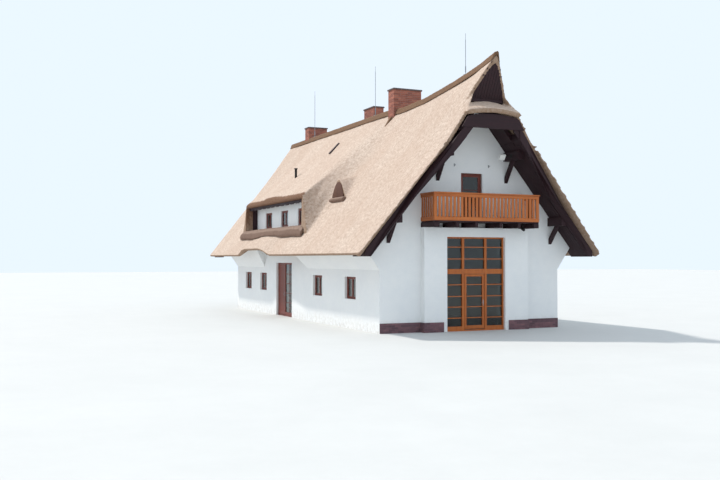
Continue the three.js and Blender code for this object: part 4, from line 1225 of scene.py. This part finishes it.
def ring(wide: Range, tall: Range, rail: float, deep: Range, edge: float) -> list[Piece]:
    """Four members round an opening that looks to the front.

    Args:
        wide: its left and right edge.
        tall: its foot and top.
        rail: width of the members.
        deep: front and back of the members.
        edge: width of the broken edges.

    Returns:
        The members.
    """
    inner = (wide[0] + rail, wide[1] - rail)
    return [bar(name, x, deep, z, edge) for name, x, z in (
        ("stile", (wide[0], inner[0]), tall), ("stile", (inner[1], wide[1]), tall),
        ("rail", inner, (tall[0], tall[0] + rail)), ("rail", inner, (tall[1] - rail, tall[1])))]


def seen_from(box: tuple[Vector, Vector], facing: Facing) -> tuple[float, float, float]:
    """Half the width, depth and height of a box looked at from one side."""
    half = (box[1] - box[0]) / 2
    sideways = facing in (Facing.LEFT, Facing.RIGHT)
    return (half.y, half.x, half.z) if sideways else (half.x, half.y, half.z)


def turned(pieces: Sequence[Piece], box: tuple[Vector, Vector], facing: Facing) -> None:
    """Turns pieces built looking to the front and carries them to the middle of a box."""
    matrix = Matrix.Translation((box[0] + box[1]) / 2) @ Matrix.Rotation(facing.value, 4, "Z")
    for piece in pieces:
        piece.data.transform(matrix)


@dataclass
class Casement:
    """A stained timber window with hung sashes, or a glazed door of the same make."""

    node: str
    facing: Facing
    leaves: int = 2
    bars: int = 0
    frame: float = 0.045
    rail: float = 0.05
    edge: float = FINE_EDGE
    gap: float = 0.003
    rebate: float = 0.01
    glass: float = 0.004
    bar_half: float = 0.013

    def build(self) -> None:
        """Builds the frame and its panes where the node is."""
        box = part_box(self.node)
        wide, deep, tall = seen_from(box, self.facing)
        parts = ring((-wide, wide), (-tall, tall), self.frame, (-deep, deep), self.edge)
        panes = []
        leaf = 2 * (wide - self.frame) / self.leaves
        height = (-tall + self.frame + self.gap, tall - self.frame - self.gap)
        for k in range(self.leaves):
            left = -wide + self.frame + k * leaf
            span = (left + self.gap, left + leaf - self.gap)
            parts += ring(span, height, self.rail, (-deep + 0.008, deep - 0.012), self.edge)
            inset = self.rail - self.rebate
            panes.append(bar("pane", (span[0] + inset, span[1] - inset), (-self.glass, self.glass),
                             (height[0] + inset, height[1] - inset), 0.001))
            for row in range(self.bars):
                level = height[0] + (row + 1) * (height[1] - height[0]) / (self.bars + 1)
                parts.append(bar("bar", (span[0] + self.rail, span[1] - self.rail),
                                 (-deep + 0.014, 0.012),
                                 (level - self.bar_half, level + self.bar_half), 0.003))
        sash, glazing = joined(f"{self.node}_sash", parts), joined(f"{self.node}_pane", panes)
        turned((sash, glazing), box, self.facing)
        hand_over(sash, REDWOOD, nodes=(self.node,))
        hand_over(glazing, GLASS)


def lever(name: str, place: Vector, outward: Vector, way: Vector, body: str) -> None:
    """A door lever on its plate.

    Args:
        name: the piece's name.
        place: where the lever's neck meets the leaf.
        outward: the way out of the leaf.
        way: the way that the lever points.
        body: the body it moves with.
    """
    reach = place + outward * 0.045
    lock = place - Vector((0.0, 0.0, 0.07))
    plate = block("plate", (-0.018, -0.004, -0.11), (0.018, 0.004, 0.11), 0.003)
    plate.data.transform(along(outward, place))
    handle = joined(name, [
        plate, round_bar("neck", place, reach, 0.009, 14),
        round_bar("lever", reach - way * 0.01, reach + way * 0.115, 0.009, 14),
        round_bar("lock", lock, lock + outward * 0.012, 0.012, 14)])
    rounded(handle, 0.002)
    smooth(handle, 50)
    hand_over(handle, ZINC, body=body)


@dataclass
class TerraceGlazing:
    """The tall glazed bay: fixed frame, its glass, and the hinged leaf."""

    edge: float = 0.006
    pane_edge: float = 0.001

    def build(self) -> None:
        """Softens the frame, the leaf and the panes."""
        door = "terrace_door"
        for name, node, edge, finish, slot, body in (
            ("terrace_frame", "terrace_window", self.edge, LARCH_UPRIGHT, "larch", "house"),
            ("terrace_leaf", door, self.edge, LARCH_UPRIGHT, "larch", door),
            ("terrace_panes", "terrace_glass", self.pane_edge, GLASS, "glazing", "house"),
        ):
            hand_over(softened_copy(name, node, edge), finish, body, (node,))
        pane = block("terrace_leaf_pane", *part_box("terrace_door_glass"), self.pane_edge)
        hand_over(pane, GLASS, body=door, nodes=("terrace_door_glass",))
        low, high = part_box(door)
        lever("terrace_lever", Vector((high.x - 0.045, low.y, 1.08)), Vector((0, -1, 0)),
              Vector((-1, 0, 0)), door)


@dataclass
class Entrance:
    """The entrance: glazed sidelight in a fixed frame, and a boarded leaf."""

    node: str = "entrance_frame"
    leaf: str = "entrance_door"
    rail: float = 0.06
    gap: float = 0.008
    light: Range = (0.2, 2.5)
    board: float = 0.118
    border: float = 0.1
    kick: float = 0.18
    bars: tuple[float, ...] = (0.66, 1.12, 1.58, 2.04)
    bar_half: float = 0.016
    edge: float = 0.003

    def build(self) -> None:
        """Builds the frame, the pane and the leaf."""
        self.fixed_frame()
        self.boarded_leaf()

    def fixed_frame(self) -> None:
        """The frame members, glazing bars and pane."""
        low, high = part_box(self.node)
        leaf_low, leaf_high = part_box(self.leaf)
        post, jamb = leaf_low.y - self.gap, leaf_high.y + self.gap
        light = (low.y + self.rail, post - self.rail)
        middle = (light[0] + light[1]) / 2
        foot, head = self.light
        full = (0.0, high.z)
        slim = (low.x + 0.012, high.x - 0.02)
        parts = [bar("member", (low.x, high.x), y, z, 0.005) for y, z in (
            ((low.y, light[0]), full), ((light[1], post), full), ((jamb, high.y), full),
            (light, (0.0, foot)), (light, (head, high.z)), ((post, jamb), (0.0, 0.05)),
            ((post, jamb), (leaf_high.z + 0.006, high.z)))]
        parts += [bar("member", slim, light, (z - self.bar_half, z + self.bar_half), self.edge)
                  for z in self.bars]
        parts.append(bar("member", slim, (middle - self.bar_half, middle + self.bar_half),
                         self.light, self.edge))
        hand_over(joined("entrance_frame_timber", parts), REDWOOD, nodes=(self.node,))
        centre = (low.x + high.x) / 2
        pane = bar("entrance_pane", (centre - 0.004, centre + 0.004),
                   (light[0] - 0.02, light[1] + 0.02), (foot - 0.02, head + 0.02), 0.001)
        hand_over(pane, GLASS)

    def boarded_leaf(self) -> None:
        """Upright boards on a flat leaf, inside a plain border."""
        low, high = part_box(self.leaf)
        face = low.x
        wide, tall = (low.y, high.y), (low.z, high.z)
        inner = (low.y + self.border, high.y - self.border)
        field = (low.z + self.kick, high.z - self.border)
        parts = [bar("leaf", (face + 0.008, high.x), wide, tall, self.edge)]
        parts += [bar("border", (face, face + 0.01), y, z, self.edge) for y, z in (
            ((low.y, inner[0]), tall), ((inner[1], high.y), tall),
            (inner, (low.z, field[0])), (inner, (field[1], high.z)))]
        count = round((inner[1] - inner[0]) / self.board)
        pitch = (inner[1] - inner[0]) / count
        for k in range(count):
            y = inner[0] + k * pitch
            parts.append(bar("board", (face + 0.004, face + 0.012), (y + 0.003, y + pitch - 0.003),
                             field, self.edge))
        hand_over(joined("entrance_leaf", parts), REDWOOD, body=self.leaf,
                  nodes=(self.leaf,))
        lever("entrance_lever", Vector((face, low.y + 0.055, 1.06)), Vector((-1, 0, 0)),
              Vector((0, 1, 0)), self.leaf)


# Balcony


@dataclass
class Balcony:
    """The slatted balcony on its beam ends."""

    slat: float = 0.105
    slat_depth: float = 0.026
    slat_short: float = 0.06
    foot_board: float = 0.15
    top_board: float = 0.12
    cap: float = 0.05
    lip: float = 0.03
    post: float = 0.09
    beams: tuple[Range, ...] = ((1.723, 1.957), (2.668, 2.798), (3.488, 3.618), (4.567, 4.697),
                                (5.388, 5.518), (6.123, 6.357))
    beam_front: float = -1.05
    beam_height: Range = (3.96, 4.15)
    plank: float = 0.12

    def build(self) -> None:
        """Builds the deck and the three slatted sides with their posts."""
        self.deck()
        for end, facing, count in (("front", Facing.FRONT, 29), ("left", Facing.LEFT, 6),
                                   ("right", Facing.RIGHT, 6)):
            self.side(end, facing, count)

    def deck(self) -> None:
        """Planks over the beams that reach out of the wall."""
        low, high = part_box("balcony_deck")
        foot, top = self.beam_height
        parts = [block("beam", at(x[0], self.beam_front, foot), at(x[1], -0.001, top), 0.01)
                 for x in self.beams]
        near = low.y
        while near < high.y - 0.02:
            far = min(near + self.plank - 0.006, high.y)
            parts.append(bar("plank", (low.x + 0.03, high.x - 0.03), (near, far), (top, high.z),
                             FINE_EDGE))
            near += self.plank
        hand_over(joined("balcony_beams", parts), DARK_LONG, nodes=("balcony_deck",))

    def side(self, end: str, facing: Facing, count: int) -> None:
        """One slatted side, built looking to the front and then turned.

        Args:
            end: which side it is.
            facing: the way it looks.
            count: how many slats it has.
        """
        node = f"balcony_rail_{end}"
        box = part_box(node)
        front = facing is Facing.FRONT
        wide, deep, tall = seen_from(box, facing)
        pitch = 2 * wide / count
        short = tall - self.slat_short
        master = bar("slat", (-self.slat / 2, self.slat / 2),
                     (-self.slat_depth / 2, self.slat_depth / 2), (-short, short), 0.005)
        slats = [twin(master, "slat", Matrix.Translation((-wide + (k + 0.5) * pitch, 0.0, 0.0)))
                 for k in range(count)]
        drop(master)
        under = tall - self.cap
        level = [
            bar("foot", (-wide, wide), (-deep, deep * 0.4), (-tall, -tall + self.foot_board), 0.008),
            bar("head", (-wide, wide), (-deep, deep * 0.4), (under - self.top_board, under), 0.008),
            bar("cap", (-wide - self.lip, wide + self.lip), (-deep - self.lip, deep + 0.012),
                (under, tall), 0.01),
        ]
        if front:
            slats += [bar("post", (x, x + self.post), (-deep * 0.6, deep + 0.03),
                          (-tall + 0.01, tall - 0.03), 0.006) for x in (-wide, wide - self.post)]
        upright_part = joined(f"balcony_{end}_slats", slats)
        level_part = joined(f"balcony_{end}_boards", level)
        turned((upright_part, level_part), box, facing)
        hand_over(upright_part, LARCH_UPRIGHT, nodes=(node,))
        hand_over(level_part, LARCH_ACROSS if front else LARCH_LONG)


# Walls


@dataclass
class Walls:
    """Rendered walls, floors and the brick plinth along the front."""

    course: float = 0.075
    brick: float = 0.25
    joint: float = 0.01
    proud: float = 0.006
    shortest: float = 0.02
    rows: int = 5
    seed: int = 7

    def build(self) -> None:
        """Dresses the walls and floors and lays the plinth."""
        dress(RENDER, "front_wall_left", "front_wall_right", "front_gable", "left_wall_front",
              "left_wall_back", "left_wall_lintel", "right_wall", "back_wall", "flare_left_front",
              "flare_left_back", "flare_right", "dormer_wall")
        dress(SCREED, "ground_floor", "upper_floor")
        dress(DARK_MORTAR, "plinth_left", "plinth_right")
        dress(DARK_LONG, "dormer_timber")
        self.plinth()

    def plinth(self) -> None:
        """Brick slips along the front, in running bond."""
        chance = random.Random(self.seed)
        master = block("slip", (0, 0, 0), (1, 1, 1))
        runs = [((0.0, 1.70), -0.02, True), ((1.70, 2.55), -0.32, True),
                ((5.45, 6.38), -0.32, True), ((6.38, 8.0), -0.02, True),
                ((-0.32, -0.02), 1.70, False), ((-0.32, -0.02), 6.38, False)]
        slips = []
        depth = self.proud + 0.01
        for row in range(self.rows):
            low = row * self.course + (0.0 if row == 0 else self.joint / 2)
            height = (row + 1) * self.course - self.joint / 2 - low
            for span, face, along_x in runs:
                outward = face - self.proud if along_x or face < MIDDLE_X else face
                u = span[0]
                length = self.brick / 2 if row % 2 else self.brick
                while u < span[1] - 0.01:
                    end = min(u + length, span[1]) - self.joint
                    if end - u > self.shortest:
                        corner = (u, outward, low) if along_x else (outward, u, low)
                        size = (end - u, depth) if along_x else (depth, end - u)
                        slips.append(lay(master, corner, (*size, height), chance))
                    u += length
                    length = self.brick
        drop(master)
        hand_over(joined("plinth_bricks", slips), PLINTH_BRICK)


class WallFittings:
    """Floodlight at the upper purlin, two wall hooks and the spotlight under the balcony."""

    def build(self) -> None:
        """Builds each fitting on what carries it."""
        self.floodlight()
        for k, x in enumerate((3.19, 4.73)):
            self.hook(f"wall_hook_{k + 1}", at(x, 0.0, 6.4))
        self.spotlight()

    def floodlight(self) -> None:
        """A square floodlight on an arm from the purlin's side."""
        place = at(4.98, -0.6, 6.72)
        case = block("case", (-0.125, -0.05, -0.12), (0.125, 0.05, 0.12), 0.015)
        sink(case, Vector((0.0, -1.0, 0.0)), 0.02, 0.012)
        case.data.transform(Matrix.Translation(place) @ Matrix.Rotation(math.radians(35), 4, "X"))
        hand_over(case, LAMP_WHITE)
        arm = round_bar("arm", place + Vector((0.1, 0.04, 0.02)), at(5.43, -0.56, 6.78), 0.014, 12)
        plate = block("plate", at(5.40, -0.62, 6.70), at(5.4245, -0.5, 6.86), FINE_EDGE)
        hand_over(joined("floodlight_bracket", [arm, plate]), BLACK_IRON)

    def hook(self, name: str, face: Vector) -> None:
        """A wall hook: plate, neck and upturned end."""
        neck, end = face + Vector((0, -0.08, -0.03)), face + Vector((0, -0.09, 0.03))
        plate = block("plate", face + Vector((-0.02, -0.008, -0.06)),
                      face + Vector((0.02, 0.0, 0.05)), 0.003)
        hook = joined(name, [plate, round_bar("neck", face, neck, 0.008, 12),
                             round_bar("end", neck, end, 0.008, 12)])
        smooth(hook, 50)
        hand_over(hook, ZINC)

    def spotlight(self) -> None:
        """A small dark spotlight under the deck."""
        place = at(5.72, -0.88, 3.93)
        lamp = joined("balcony_spotlight", [
            round_bar("stem", place + Vector((0, 0, 0.225)), place, 0.012, 12),
            round_bar("can", place + Vector((0, 0.06, 0.03)), place + Vector((0, -0.09, -0.05)),
                      0.055, 24)])
        rounded(lamp, 0.004)
        smooth(lamp, 50)
        hand_over(lamp, BLACK_IRON)


# Studio


@dataclass
class Studio:
    """Pale floor, soft light from the left and the camera at the photograph's angle."""

    camera: tuple[float, float, float] = (-17.72, -38.665, 2.767)
    turn: tuple[float, float, float] = (91.25, 0.0, -23.93)
    lens: float = 43.5
    sun: tuple[float, float, float] = (-0.40, 0.50, 0.768)
    sun_energy: float = 2.85
    sun_angle: float = math.radians(3)
    sun_colour: tuple[float, float, float] = (1.0, 0.96, 0.90)
    sky_colour: Colour = (0.80, 0.90, 1.0, 1.0)
    sky_strength: float = 1.05

    def build(self) -> None:
        """Sets up floor, light and camera."""
        floor = block("studio_floor", (-150, -150, -0.2), (150, 150, -0.0005))
        floor.data.materials.append(GROUND.make())
        scene = bpy.context.scene
        scene.world = bpy.data.worlds.new("studio_sky")
        scene.world.use_nodes = True
        background = scene.world.node_tree.nodes["Background"]
        background.inputs["Color"].default_value = self.sky_colour
        background.inputs["Strength"].default_value = self.sky_strength
        light = bpy.data.lights.new("sun", "SUN")
        light.energy, light.angle, light.color = self.sun_energy, self.sun_angle, self.sun_colour
        lamp = bpy.data.objects.new("sun", light)
        lamp.rotation_euler = (-Vector(self.sun)).to_track_quat("-Z", "Y").to_euler()
        scene.collection.objects.link(lamp)
        view = bpy.data.cameras.new("camera")
        view.lens, view.sensor_width, view.clip_end = self.lens, 36.0, 500.0
        eye = bpy.data.objects.new("camera", view)
        eye.location = self.camera
        eye.rotation_euler = tuple(math.radians(angle) for angle in self.turn)
        scene.collection.objects.link(eye)
        scene.camera = eye
        scene.view_settings.view_transform = "Standard"


def main() -> None:
    """Builds the cottage's looks in order."""
    logging.basicConfig(level=logging.INFO, format="%(name)s %(message)s")
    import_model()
    Studio().build()
    Walls().build()
    ThatchCoat().build()
    ReedRoll("ridge_roll", ("ridge_front", "ridge_back"), RIDGE_REED).build()
    ReedRoll("dormer_sill_roll", ("dormer_sill",), SILL_REED, voxel=0.035, depth=0.05).build()
    SmallDormer().build()
    VergeTimber().build()
    Chimney("chimney_main", (3.77, 5.18), (6.45, 7.04), foot=8.35, top=10.6, seed=1).build()
    Chimney("chimney_middle", (5.0, 5.56), (11.3, 12.5), foot=7.8, top=10.63, seed=2).build()
    Chimney("chimney_back", (3.9, 5.03), (17.85, 18.45), foot=8.3, top=10.4, seed=3).build()
    RoofFittings().build()
    Balcony().build()
    TerraceGlazing().build()
    Entrance().build()
    for facing, nodes in (
        (Facing.LEFT, [f"window_left_{k}" for k in (1, 2, 3, 4)]),
        (Facing.RIGHT, [f"window_right_{k}" for k in (1, 2, 3)]),
        (Facing.BACK, ["window_back_lower"]),
        (Facing.LEFT, [f"window_dormer_{k}" for k in (1, 2, 3)]),
    ):
        for node in nodes:
            Casement(node, facing).build()
    Casement("window_back_upper", Facing.BACK, leaves=1).build()
    Casement("balcony_door", Facing.FRONT, leaves=1, bars=2, rail=0.09).build()
    WallFittings().build()


if __name__ == "__main__":
    main()
